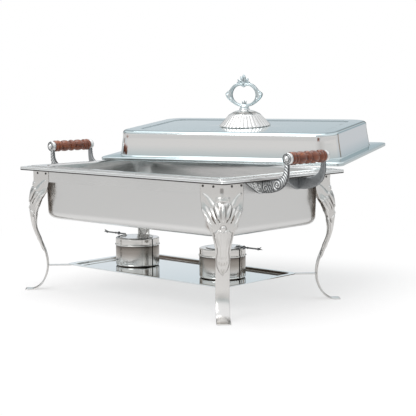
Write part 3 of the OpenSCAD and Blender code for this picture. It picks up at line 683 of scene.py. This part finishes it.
def cut_slits(t, z):
    """Marks the points inside each slit, and moves them out to its edge, so that a slit in the
    grid of cells has a smooth outline. An ellipse is where (u/a)^2 + (v/b)^2 = 1."""
    inside = np.zeros(t.shape, bool)
    for sign in (-1, 1):
        for (mid_t, mid_z), long, wide, lean in SLITS:
            c, s = math.cos(math.radians(lean)), math.sin(math.radians(lean)) * sign
            dt, dz = t - sign * mid_t, z - mid_z
            u, v = dz * c + dt * s, dt * c - dz * s
            e = np.sqrt((u / long) ** 2 + (v / wide) ** 2)
            hit = e < 1
            inside |= hit
            grow = np.where(hit & (e > 0.15), 1 / np.maximum(e, 0.15), 1)
            u, v = u * grow, v * grow
            t = np.where(hit, sign * mid_t + v * c + u * s, t)
            z = np.where(hit, mid_z + u * c - v * s, z)
    return t, z, inside


# %% Leg surface
def leg_sheet(t, along):
    """Point of the plain sheet: the leg's line, set back by the crease, which is an arc of the
    ridge radius near the middle and a straight 45 degree flank outside it."""
    out, z, crease, _ = (np.interp(along, leg_steps, leg_line[:, k]) for k in range(4))
    step = 1.5
    run = [np.interp(along + step, leg_steps, leg_line[:, k])
           - np.interp(along - step, leg_steps, leg_line[:, k]) for k in range(2)]
    size = np.hypot(*run)
    inner = (-run[1] / size, run[0] / size)
    arc = RIDGE_R - np.sqrt(np.maximum(RIDGE_R ** 2 - t ** 2, RIDGE_R ** 2 / 2))
    fall = np.where(np.abs(t) < RIDGE_R / math.sqrt(2), arc, np.abs(t) + ridge_out)
    return np.stack([out + inner[0] * fall * crease, t, z + inner[1] * fall * crease], -1)


SLITS_ABOVE = 90.0      # height over which slits may be cut
ACROSS_STEP, ALONG_STEP = 0.2, 0.4      # for measuring the sheet's slope


def leg_grid(columns=89):
    """Rows up the leg by columns across it. The columns follow the outline, the slits are cut in
    flat coordinates, and the relief is added along the sheet's own normal. Gives the points,
    the cells to keep, and the painted shade of each point, dark in the relief's recesses."""
    share = np.linspace(-1, 1, columns)
    across = share[None] * leg_line[:, 3:4]
    along = np.repeat(leg_steps[:, None], columns, 1)
    height = np.repeat(leg_line[:, 1][:, None], columns, 1)
    upper = height > SLITS_ABOVE
    t, z, inside = cut_slits(across, height)
    upper_rows = leg_line[:, 1] > SLITS_ABOVE
    moved = np.interp(z, leg_line[upper_rows, 1], leg_steps[upper_rows])
    along = np.where(inside & upper, moved, along)
    flat = leg_sheet(t, along)
    side = leg_sheet(t + ACROSS_STEP, along) - leg_sheet(t - ACROSS_STEP, along)
    rise = leg_sheet(t, along + ALONG_STEP) - leg_sheet(t, along - ALONG_STEP)
    normal = np.cross(side, rise)
    normal /= np.linalg.norm(normal, axis=-1, keepdims=True)
    relief = np.where(upper | (height > 80), leg_relief(t, np.where(upper, z, height)), 0)
    edge = 0.5 * soft_step(np.abs(share)[None], 0.93, 1.0) * soft_step(-height, -222, -200)
    edge = edge * soft_step(height, 3, 12)
    grid = flat + normal * (relief - edge)[..., None]
    hole = inside[:-1, :-1] & inside[1:, 1:] & inside[1:, :-1] & inside[:-1, 1:]
    # painted shade: dark between the fan's petals and in every dent of the relief
    fan = soft_step(height, 181, 192) * soft_step(-height, -212, -206)
    fan = 0.75 * fan * soft_step(-np.abs(t), -20, -13)
    low = fan * np.clip((0.8 - relief) / 0.9, 0, 1) + 0.6 * np.clip(-relief / 0.6, 0, 1)
    return grid, ~hole, np.clip(low, 0, 1)


leg_points, leg_keep, leg_painted_shade = leg_grid()
for name, sx, sy in [("front_left", -1, -1), ("front_right", 1, -1),
                     ("back_left", -1, 1), ("back_right", 1, 1)]:
    out, across, height = np.moveaxis(leg_points, -1, 0)
    half = math.sqrt(0.5)
    place = np.stack([sx * corner_x + half * (out * sx - across * sy),
                      sy * corner_y + half * (out * sy + across * sx), height], -1) * MM
    leg = make_piece(f"leg_{name}_pressing", place, leg_steel, "stand",
                     [f"leg_{name}"], keep=leg_keep, hollow=leg_painted_shade, outward=(sx, sy, 0.2))
    thicken(leg, LEG_SHEET * MM)

# %% [markdown]
# ## Turned pieces
# The fuel cups, their covers, the grips and the knob's base are round, so each is an outline
# spun about an axis. The Spin tool or a Screw modifier would do the same, but with arrays the
# radius can also ripple with the angle, which is all that fluting is.

# %% Turning helpers
def rounded_outline(corners, steps=5):
    """Outline of (radius, height, bend) corners with each bend drawn as a quadratic curve."""
    return bent([(r, h, 0, bend) for r, h, bend in corners], steps)[:, :2]


AROUND = 96


def turned(outline, centre, axis="z", around=AROUND, ripple=None):
    """Spins (radius, height) rows about an axis through centre: across = r cos, r sin. ripple
    gives, for (angle, row number), what is added to the radius in mm."""
    r, h = np.array(outline, float).T
    turn = all_round(around)
    radius = r[:, None] + np.zeros_like(turn)
    if ripple is not None:
        radius = radius + ripple(turn, np.arange(len(r))[:, None])
    a, b, c = radius * np.cos(turn), radius * np.sin(turn), h[:, None] + np.zeros_like(radius)
    order = {"z": (a, b, c), "y": (b, c, a), "x": (c, a, b)}[axis]
    return np.stack(order, -1) * MM + np.asarray(centre)


# %% [markdown]
# ## Fuel burners
# A drawn cup holds the fuel, a cover with a flame hole plugs into it, and a flat plate swings
# over the hole on a rivet to damp the flame. The cup's foot and top are shaded dark, to stand
# for the tray and the pan that a real cup mirrors there.

# %% Cups, covers and plates
for side in ("left", "right"):
    cup_low, cup_high = (np.array(c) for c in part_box(f"fuel_cup_{side}"))
    cup_mid = (cup_low + cup_high) / 2
    cup_r, cup_h = (cup_high[0] - cup_low[0]) / 2 / MM, (cup_high[2] - cup_low[2]) / MM
    base = (cup_mid[0], cup_mid[1], cup_low[2])
    cup = rounded_outline([(0.5, 1.2, 0), (cup_r - 1.2, 1.2, 6), (cup_r - 1.2, cup_h, 0.5),
                           (cup_r, cup_h, 0.5), (cup_r, 3, 4), (cup_r - 2.5, 0, 3), (0.5, 0, 0)])
    shade = np.exp(-(cup[:, 1:] / 2.2) ** 2) + np.exp(-((cup[:, 1:] - cup_h) / 1.2) ** 2)
    make_piece(f"cup_{side}", turned(cup, base), cup_steel, f"burner_{side}",
               [f"fuel_cup_{side}"], caps=["start", "end"],
               hollow=np.clip(shade, 0, 1) * np.ones((1, AROUND)))

    seat = cup_h + 0.3
    top = float(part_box(f"fuel_cover_{side}")[1].z - cup_low[2]) / MM
    bead = [(cup_r + 1.6 * math.sin(a), seat + 1.6 - 1.6 * math.cos(a))
            for a in np.linspace(0.3, math.pi - 0.2, 9)]
    cover = np.vstack([
        [(cup_r - 1.7, seat - 8), (cup_r - 1.7, seat)], bead,
        rounded_outline([(cup_r, seat + 4, 0), (cup_r, top, 2.4), (26, top, 1), (24, top - 1.2, 0.6),
                         (24, top - 2.2, 0.5), (26, top - 1.4, 0), (cup_r - 3, top - 1.4, 1),
                         (cup_r - 2.7, seat - 8, 0)])])
    make_piece(f"cover_{side}", turned(cover, base), cup_steel, f"cover_{side}",
               [f"fuel_cover_{side}"], wrap_rows=True)

    plate_mid, plate_half = middle(f"damper_plate_{side}")
    r, t = plate_half[0], plate_half[2]
    plate = rounded_outline([(0.5, -t + 0.1, 0), (r - 3, -t + 0.1, 0.5), (r - 0.5, -t, 0.4),
                             (r, 0, 0.4), (r - 0.6, t, 0.4), (r - 3, t - 0.3, 1), (0.5, t - 0.2, 0)])
    make_piece(f"damper_{side}", turned(plate, plate_mid), bright, f"damper_{side}",
               [f"damper_plate_{side}"], caps=["start", "end"])

# %% Damper handles
for side, sign in (("left", -1), ("right", 1)):
    burner_at = middle(f"fuel_cup_{side}")[0]
    plate_high = float(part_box(f"damper_plate_{side}")[1].z)
    stick_y, stick_z = burner_at[1] + sign * 5 * MM, plate_high + 2.3 * MM
    start = 31.0
    rod = [(0.4, start), (1.9, start + 0.5), (1.7, start + 2)]
    for at, ball in ((50.6, 3.5), (59.8, 2.2), (86, 2.5)):
        a = np.linspace(math.pi - 0.5, 0.5, 9)
        rod += [(1.5, at - 1.5 * ball)] + list(zip(ball * np.sin(a), at + ball * np.cos(a)))
        rod += [(1.5, at + 1.5 * ball)]
    rod += [(0.4, 91)]
    rod = [(r, burner_at[0] / MM * sign + h) for r, h in rod]
    rod_points = turned(rod, (0, 0, 0), "x", 20)
    rod_points[..., 0] *= sign
    rod_points += (0, stick_y, stick_z)
    make_piece(f"damper_stick_{side}", rod_points, silver, f"damper_{side}",
               [f"damper_handle_{side}"], caps=["start", "end"],
               hollow=np.full(rod_points.shape[:2], 0.75))
    # two prongs of a leaf: one runs on nearly level and one bends up
    u = np.linspace(0, 1, 15)[:, None]
    ring = all_round(12)
    for part, lift, length in (("upper", 5.4, 8.5), ("lower", -0.6, 11.5)):
        reach = 86 + u * length
        wide = 0.3 + 2.3 * np.sin(np.pi * np.minimum(u * 1.15, 1)) ** 0.8
        x = sign * (burner_at[0] / MM * sign + reach) + 0 * ring
        y = wide * np.cos(ring)
        z = lift * u ** 1.4 + 0.28 * wide * np.sin(ring)
        prong = np.stack([x, y, z], -1) * MM + (0, stick_y, stick_z)
        make_piece(f"damper_leaf_{part}_{side}", prong, silver, f"damper_{side}",
                   caps=["start", "end"], hollow=np.full(prong.shape[:2], 0.8))
    # foot on the plate
    foot = rounded_outline([(0.3, -0.1, 0), (4.2, -0.1, 0.4), (4.2, 1.0, 0.6), (2.2, 2.4, 1.2),
                            (0.3, 2.6, 0)])
    make_piece(f"damper_foot_{side}",
               turned(foot, (burner_at[0] + sign * 32 * MM, stick_y, plate_high), "z", 32),
               silver, f"damper_{side}", caps=["start", "end"])

# %% [markdown]
# ## Handle grips
# The grips are turned in hardwood: ringed collars at the ends, two barrels and a bead between.
# The outline is one list of steps along the grip, smoothed by the same curve as the leg.

# %% Grips
GRIP_TURNING = np.array([
    (0.0, 0.70), (0.012, 0.93), (0.045, 1.0), (0.08, 0.95), (0.092, 0.80), (0.104, 0.95),
    (0.135, 0.99), (0.165, 0.90), (0.182, 0.66), (0.2, 0.60), (0.215, 0.76), (0.25, 0.92),
    (0.31, 0.99), (0.37, 0.92), (0.405, 0.76), (0.42, 0.60), (0.436, 0.60), (0.45, 0.80),
    (0.475, 0.95), (0.5, 0.99)])
for side in ("left", "right"):
    mid, half = middle(f"grip_{side}")
    whole = np.vstack([GRIP_TURNING, (GRIP_TURNING * (-1, 1) + (1, 0))[::-1][1:]])
    line = smooth_line(whole, 4)
    outline = [(r * 12, (s - 0.5) * 2 * half[1]) for s, r in line]
    outline = [(3.3, -half[1])] + outline + [(3.3, half[1])]
    make_piece(f"wood_grip_{side}", turned(outline, mid, "y", 64), wood, "stand",
               [f"grip_{side}"], caps=["start", "end"])

# %% [markdown]
# ## Handle brackets
# Each bracket is one casting: a boat-shaped plate on the skirt, a deep leaf-like arm that curls
# up, and an eye for the grip. Its outward side carries cut scrolls and the inward side is plain.
# Sculpting is the usual way to such relief. Here the scrolls are spirals and strokes given by
# formulas, so all four castings match like pieces from one mould.

# %% Carved bars
def carved_bar(low, high, front, back, columns=44, sharp=0.3):
    """Closed bar between two edge curves in a plane: each section runs over the front face from
    low to high and home over the back. A face stands out by its own height function times
    sin(angle) to a power, which rounds the edges. Gives points as (in plane, in plane, out)."""
    angle = np.linspace(0.04, np.pi - 0.04, columns)
    over = (1 - np.cos(angle)) / 2
    face = low[:, None] * (1 - over)[None, :, None] + high[:, None] * over[None, :, None]
    edge = np.sin(angle)[None] ** sharp
    ahead = front(face[..., 0], face[..., 1]) * edge
    behind = -back * edge[:, ::3]
    near = np.concatenate([face, ahead[..., None]], -1)
    rear = face[:, ::3]
    far = np.concatenate([rear, np.broadcast_to(behind, rear.shape[:2])[..., None]], -1)
    return np.concatenate([near, far[:, ::-1]], 1)


def curve_through(controls, steps):
    """Bezier curve of any number of controls, by repeated halfway steps between neighbours."""
    u = np.linspace(0, 1, steps)[:, None]
    level = [np.array(c, float)[None] * np.ones_like(u) for c in controls]
    while len(level) > 1:
        level = [a * (1 - u) + b * u for a, b in zip(level, level[1:])]
    return level[0]


def spiral(x, z, centre, size, turns, hand=1.0):
    """Ridges of a volute: the wave cos(angle + turns * radius) makes a ridge that winds
    outwards, and it dies away at the edge of the volute."""
    dx, dz = (x - centre[0]) * hand, z - centre[1]
    r = np.hypot(dx, dz)
    wave = np.cos(np.arctan2(dz, dx) - 2 * np.pi * turns * r / size)
    return wave * soft_step(-r, -size, -size * 0.8)


def stroke(x, z, start, end, width, depth):
    """A cut or rib with a round section along a straight line."""
    return petal(x, z, start, end, width, depth, 0.35)


# %% Brackets
eye_x, _, eye_z = middle("grip_right")[0] / MM
box_low, box_high = (np.array(c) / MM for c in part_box("bracket_right_front"))
eye_y = -(box_low[1] + box_high[1]) / 2
plate_x, top_z = box_low[0], box_low[2] + 23.0
EYE_HALF = 4.0
EYE_AROUND = 48
PLATE_HALF = 46.0


def arm_relief(x, z):
    """Outward face of the arm: a volute in the elbow, ribs that follow the outer curve, leaf
    strokes, and a small scroll near the root."""
    bend_x, bend_z = plate_x + 37, top_z - 6
    r = np.hypot(x - bend_x, z - bend_z)
    h = 3.3 + 0.8 * spiral(x, z, (bend_x, bend_z), 10.5, 2.0)
    h += 0.6 * np.cos(np.clip(r - 11.5, 0, None) * 1.3) * soft_step(r, 10.5, 12.5)
    for k in range(3):
        h -= stroke(x, z, (plate_x + 13 + 5 * k, top_z - 1), (plate_x + 20 + 5 * k, top_z - 17),
                    1.0, 1.6)
    h += 0.9 * spiral(x, z, (plate_x + 10, top_z - 13), 7.0, 1.6, -1.0) * (x < plate_x + 17)
    return h


def plate_relief(y, z):
    """Outward half of the plate: two scrolls and leaf strokes down to the tip. The other half
    is plain with two shallow bands. The plate is thickest along its middle."""
    depth = 2.6 + 0.9 * np.sqrt(np.clip(1 - (y / PLATE_HALF) ** 2, 0, 1))
    ornate = soft_step(-y, 4.5, 6.0)
    h = (0.9 * spiral(y, z, (-13, top_z - 11), 8.0, 1.7)
         + 0.8 * spiral(y, z, (-27, top_z - 7), 6.0, 1.5, -1))
    for k in range(3):
        h -= stroke(y, z, (-22 - 7 * k, top_z - 1.5 - k), (-17 - 6 * k, top_z - 16 + 3 * k),
                    0.9, 1.1)
    h -= 1.3 * np.exp(-((y + 4.6) / 0.9) ** 2)
    plain = -0.5 * np.exp(-((y - 10) / 1.2) ** 2) - 0.5 * np.exp(-((y - 16) / 1.2) ** 2)
    return np.minimum(depth + ornate * h + (1 - ornate) * plain, 3.9)


under = curve_through([
    (plate_x + 2, top_z - 22), (plate_x + 22, top_z - 23), (eye_x - 3, top_z - 19),
    (eye_x + 6, top_z + 2), (eye_x + 1, top_z + 14), (eye_x + 3, eye_z - 6)], 110)
over = curve_through([
    (plate_x + 2, top_z), (plate_x + 26, top_z - 1), (eye_x - 26, top_z + 3),
    (eye_x - 3, top_z + 8), (eye_x - 9, top_z + 17), (eye_x - 6, eye_z - 4)], 110)
arm = carved_bar(under, over, arm_relief, 3.0)
along_y = np.linspace(-PLATE_HALF, PLATE_HALF, 121)
drop = np.interp(np.abs(along_y), [0, 8, 12, 42, PLATE_HALF], [23, 23, 21.5, 4.5, 0.6])
sill = np.stack([along_y, top_z - drop], -1)
lintel = np.stack([along_y, np.full_like(along_y, top_z)], -1)
leaf_plate = carved_bar(sill, lintel, plate_relief, 0.0, sharp=0.2)
eye_line = [(2.8, -EYE_HALF - 0.3), (4.6, -EYE_HALF - 0.5), (5.6, -EYE_HALF + 0.6),
            (6.6, -EYE_HALF - 0.3), (7.6, -EYE_HALF - 0.3), (8.2, -EYE_HALF + 0.7),
            (9.2, -EYE_HALF - 0.2), (10.2, -EYE_HALF + 0.3), (10.6, -EYE_HALF + 1.5),
            (10.6, EYE_HALF - 1), (9.8, EYE_HALF), (2.8, EYE_HALF)]
EYE_SHADE = [0.6, 0.3, 1, 0.3, 0.3, 1, 0.8, 0, 0, 0.2, 0.4, 0.4]       # row by row of eye_line
nut_line = [(2.9, EYE_HALF), (5.2, EYE_HALF + 0.1), (5.2, EYE_HALF + 1.6), (4.6, EYE_HALF + 2.6),
            (3.4, EYE_HALF + 3.2), (3.0, EYE_HALF + 4.4), (1.6, EYE_HALF + 5.4),
            (0.4, EYE_HALF + 5.6)]


def recess(out, full):
    """0 where a carved face stands at full height and 1 where it is 2.2 mm deeper."""
    return np.clip((full - out) / 2.2, 0, 1)


for side, sx in (("left", -1), ("right", 1)):
    for end, sy in (("front", 1), ("back", -1)):
        name = f"{side}_{end}"
        # out of the plane is -y for the front brackets and +y for the back ones
        x, z, out = np.moveaxis(arm, -1, 0)
        place = np.stack([sx * x, -sy * (eye_y + out), z], -1) * MM
        make_piece(f"arm_{name}", place, silver, "stand", [f"bracket_{name}"],
                   wrap_cols=True, caps=["start", "end"],
                   hollow=np.where(out > 0, recess(out, 4.2), 0.6))
        y, z, out = np.moveaxis(leaf_plate, -1, 0)
        place = np.stack([sx * (plate_x + out), -sy * (eye_y - y), z], -1) * MM
        make_piece(f"leaf_{name}", place, silver, "stand", wrap_cols=True,
                   caps=["start", "end"],
                   hollow=np.where(y < -4, recess(out, 3.6), 0.6))
        centre = np.array([sx * eye_x, -sy * eye_y, eye_z]) * MM
        eye = [(r, h * sy) for r, h in eye_line]
        make_piece(f"eye_{name}", turned(eye, centre, "y", EYE_AROUND), silver, "stand",
                   caps=["start", "end"],
                   hollow=np.repeat(np.array(EYE_SHADE)[:, None], EYE_AROUND, 1))
        cap = [(r, -h * sy) for r, h in nut_line]
        make_piece(f"nut_{name}", turned(cap, centre, "y", 32), silver, "stand",
                   ["grip_nuts"], caps=["start", "end"])

# %% [markdown]
# ## Lid
# The domed lid is stored set back behind the pans, turned a little and tipped forward, so its
# surfaces are made in its own frame and one rotation places them all. Its skin is a single bent
# profile: lip, flange, leaning wall, round shoulder, border and sunk panel.

# %% Lid frame
LID_TURN, LID_TILT = np.radians([19.0, 4.1])
PANEL_Z, LID_H = 59.5, 61.0
c, s = math.cos(LID_TURN), math.sin(LID_TURN)
turn_z = np.array([(c, -s, 0), (s, c, 0), (0, 0, 1)])
c, s = math.cos(LID_TILT), math.sin(LID_TILT)
lid_turned = turn_z @ np.array([(1, 0, 0), (0, c, -s), (0, s, c)])
washer_mid = middle("knob_washer")[0]
lid_at = washer_mid - lid_turned @ np.array([0, 0, PANEL_Z - SHEET - 0.6]) * MM


def place_lid(points):
    """From the lid's own millimetres to the place of the shown lid, in metres."""
    return points @ lid_turned.T * MM + lid_at


# %% Lid shell
LID_L, LID_W = 270.0, 167.5
lid_profile = [
    (1.2, 0.0, 11, 0), (0.0, 1.2, 12, 0.6), (0.0, 7.5, 12, 2.6), (22, 8.0, 46, 2.2),
    (27.5, 44.0, 42, 4), (28.5, LID_H, 40, 15), (60, LID_H, 24, 14), (63, LID_H, 21, 1.5),
    (66, PANEL_Z, 18, 1.5), (150, PANEL_Z, 8, 0)]
lid_points = oblong(lid_profile, LID_L, LID_W, corner_steps=16) / MM
rise = lid_points[..., 2]
# painted reflections: a cooler top and flange, and a dark line at the panel's step
cool = np.maximum(0.7 * soft_step(rise, LID_H - 9, LID_H - 1), 0.5 * (rise < 12))
step_line = (rise > PANEL_Z + 0.2) & (rise < LID_H - 0.2) & (rise > LID_H - 1.4)
lid = make_piece("lid", place_lid(lid_points), lid_steel, "lid", ["lid_shell"],
                 wrap_cols=True, caps=["end"], hollow=np.where(step_line, 1.0, cool),
                 outward=(0, 0, 1))
thicken(lid, SHEET * MM)
low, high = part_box("lid_shell")
made = place_lid(lid_points).reshape(-1, 3)
print("lid against its CAD box, mm:", np.round((made.min(0) - np.array(low)) / MM, 1),
      np.round((made.max(0) - np.array(high)) / MM, 1))

# %% [markdown]
# ## Knob
# A fluted foot like a small cake mould carries a cast ring. The foot's flutes are a ripple of
# the radius that fades out at the shoulder. The ring is carved between an inner and an outer
# curve round one centre, with a crest of leaves on top and small ones at its foot.

# %% Knob foot
FLUTES = 36
FOOT_AROUND = FLUTES * 10
foot_line = rounded_outline([
    (54.2, 0.0, 0), (55.6, 0.8, 0.5), (55.2, 2.0, 1), (44.2, 13.8, 3), (34.3, 24.8, 2.5),
    (29.5, 27.6, 3), (20, 32.0, 3), (11.5, 34.0, 2), (11.0, 36.6, 1), (2.8, 37.5, 0)], 6)


def flutes(turn, row):
    """Round lobes with sharp valleys: minus depth times 1 - |sin(n/2 angle)| to a power, deep
    between the foot's edge and its shoulder and gone above it."""
    height = foot_line[row.ravel(), 1][:, None]
    deep = 2.0 * soft_step(-height, -25.5, -22.5) * (0.75 + 0.25 * soft_step(-height, -12, 0))
    return -deep * (1 - np.abs(np.sin(FLUTES / 2 * turn)) ** 0.8)


foot = turned(foot_line, (0, 0, 0), "z", FOOT_AROUND, flutes) / MM + (0, 0, PANEL_Z)
foot_hollow = np.clip(-flutes(all_round(FOOT_AROUND), np.arange(len(foot_line))[:, None]) / 2.4, 0, 1)
foot_rise = foot_line[:, 1:2]
foot_hollow = foot_hollow * (0.45 + 0.55 * soft_step(foot_rise, 1, 6))
# painted reflection: a dark line round the foot's shoulder
foot_hollow = np.maximum(foot_hollow, 0.75 * np.exp(-((foot_rise - 29.5) / 3.0) ** 2))
knob_foot = make_piece("knob_foot", place_lid(foot), fluted_silver, "lid",
                       ["knob_base"], hollow=foot_hollow, outward=(0, 0, 1), caps=["end"])
thicken(knob_foot, 1.2 * MM)

# %% Knob ring
RING_Z = PANEL_Z + 66.5
round_turn = np.radians(np.arange(0, 360, 2.0))


def by_angle(table):
    """Radius at each angle from (degrees, radius) pairs, joined smoothly all the way round."""
    deg, rad = np.array(table, float).T
    deg, rad = np.concatenate([deg - 360, deg, deg + 360]), np.tile(rad, 3)
    fine = np.interp(np.degrees(round_turn)[None] + np.linspace(-4, 4, 9)[:, None], deg, rad)
    return fine.mean(0)


def mirrored(table):
    """Adds the left half: the same radius at 180 degrees minus each angle."""
    half = [(a % 360, r) for a, r in table] + [((180 - a) % 360, r) for a, r in table]
    return sorted(dict(half).items())


hole = by_angle(mirrored([(-90, 19), (-70, 20.2), (-45, 23.4), (-20, 26), (0, 26.6), (20, 26.2),
                          (40, 25), (58, 23.2), (72, 21), (80, 18.4), (90, 16.2)]))
rim_r = by_angle(mirrored([(-90, 24.5), (-75, 26), (-60, 27.8), (-40, 30.4), (-22, 34.8),
                           (-8, 40.5), (2, 43.5), (7, 42.5), (11, 38), (17, 35), (30, 33.2),
                           (45, 31.8), (60, 29.5), (75, 27), (90, 26)]))
inner = np.stack([hole * np.cos(round_turn), hole * np.sin(round_turn)], -1)
outer = np.stack([rim_r * np.cos(round_turn), rim_r * np.sin(round_turn)], -1)


def ring_relief(x, z):
    """A rounded bar with two lines that follow the opening, and a curled leaf at each side."""
    r, m = np.hypot(x, z), np.abs(x)
    h = 3.0 + 0.5 * np.cos((r - 24.5) * 2.1)
    h += 1.0 * petal(m, z, (27, -14), (41.5, 2), 4.2, 1.0)
    h += 0.8 * np.sqrt(np.clip(1 - ((m - 36.5) ** 2 + (z - 0.5) ** 2) / 3.2 ** 2, 0, None))
    h -= 0.9 * np.exp(-((m - 30) ** 2 + (z + 4.5) ** 2) / 3.0)
    return h


bar = carved_bar(inner, outer, ring_relief, 3.2, columns=30, sharp=0.45)


def stand_up(points):
    """Ring coordinates (across, up, out to the front) to the lid's frame."""
    return np.stack([points[..., 0], -points[..., 2], points[..., 1] + RING_Z], -1)


make_piece("knob_ring_bar", place_lid(stand_up(bar)), pale_silver, "lid",
           ["knob_ring"], wrap_rows=True, wrap_cols=True,
           hollow=recess(bar[..., 2], 3.6) * 0.8)


def carved_leaf(foot, tip, width, thick, curl=0.0, ribs=3, rows=18, columns=24):
    """A leaf in the ring's plane from foot to tip. Its width swells as sin(pi u) to a power, its
    section is an ellipse with ribs, and curl bends it sideways as u squared."""
    u = np.linspace(0.0, 1.0, rows)[:, None]
    turn = all_round(columns)
    step = np.subtract(tip, foot)
    long = np.hypot(*step)
    ahead, side = step / long, np.array((-step[1], step[0])) / long
    half = width * (0.16 + 0.84 * np.sin(np.pi * np.clip(u * 0.92 + 0.06, 0, 1)) ** 0.75)
    across = half * np.cos(turn) + curl * u ** 2
    out = thick * half / width * np.sin(turn) * (1 + 0.18 * np.cos(ribs * 2 * turn))
    x = foot[0] + ahead[0] * long * u + side[0] * across
    z = foot[1] + ahead[1] * long * u + side[1] * across
    hollow = np.clip(0.5 - 0.5 * np.sin(turn) * np.cos(ribs * 2 * turn), 0, 1) + 0 * u
    return np.stack([x, z, out + 0 * x], -1), hollow


CREST = [  # foot, tip, half width, half thickness, sideways curl
    ((0, 24), (1.5, 44.0), 5.0, 3.2, 1.0), ((0, 25), (-5.5, 40.5), 3.6, 2.8, 1.5),
    ((2, 25), (9.5, 36.5), 3.8, 2.8, -1.5), ((-2, 25), (-12.5, 34.5), 4.0, 2.6, 1.8),
    ((4, 25), (14.2, 29.0), 2.7, 2.4, -1.0), ((-4, 25), (-15.5, 28.4), 2.7, 2.4, 1.0),
    ((0, 30), (0, 17.0), 4.4, 4.2, 0.0), ((0, -22), (0.5, -11.5), 1.5, 1.4, 0.0),
    ((-2, -22), (-5.5, -13.0), 1.4, 1.3, -0.8), ((2, -22), (5.5, -13.0), 1.4, 1.3, 0.8)]
for k, (start, tip, wide, thick, curl) in enumerate(CREST):
    leaf, hollow = carved_leaf(start, tip, wide, thick, curl)
    make_piece(f"knob_crest_{k}", place_lid(stand_up(leaf)), pale_silver, "lid",
               caps=["start", "end"], hollow=hollow)

# %% Knob collar
collar = rounded_outline([(2.6, 36.5, 0), (10.6, 36.5, 0.8), (10.8, 38.6, 1.0), (8.8, 39.6, 1),
                          (9.8, 42.6, 1.2), (7.5, 45.0, 1.5), (3.5, 47.0, 1), (0.5, 47.6, 0)])
make_piece("knob_collar",
           place_lid(turned(collar, (0, 0, 0), "z", 64) / MM + (0, 0, PANEL_Z - 0.4)),
           pale_silver, "lid", caps=["start", "end"])

# %% [markdown]
# ## Plain fixings
# The skirt, the tray's arms, the rivets, the screws and the rods already have their real shape
# in the CAD model, so they stay and only get a finish.

# %% CAD parts that stay
KEPT = {
    satin: ["skirt", "tray_arms"],
    # the leg rivets are painted dark, in the same painted shade as the rim's lip
    painted_dark_shade: ["leg_rivets"],
    fixings: ["bracket_screws", "grip_rod_left", "grip_rod_right", "knob_screw",
              "knob_washer", "damper_rivet_left", "damper_rivet_right"]}
for material, names in KEPT.items():
    for name in names:
        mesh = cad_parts[name].data
        mesh.materials.clear()
        mesh.materials.append(material)
print("kept CAD parts:", sum(map(len, KEPT.values())))
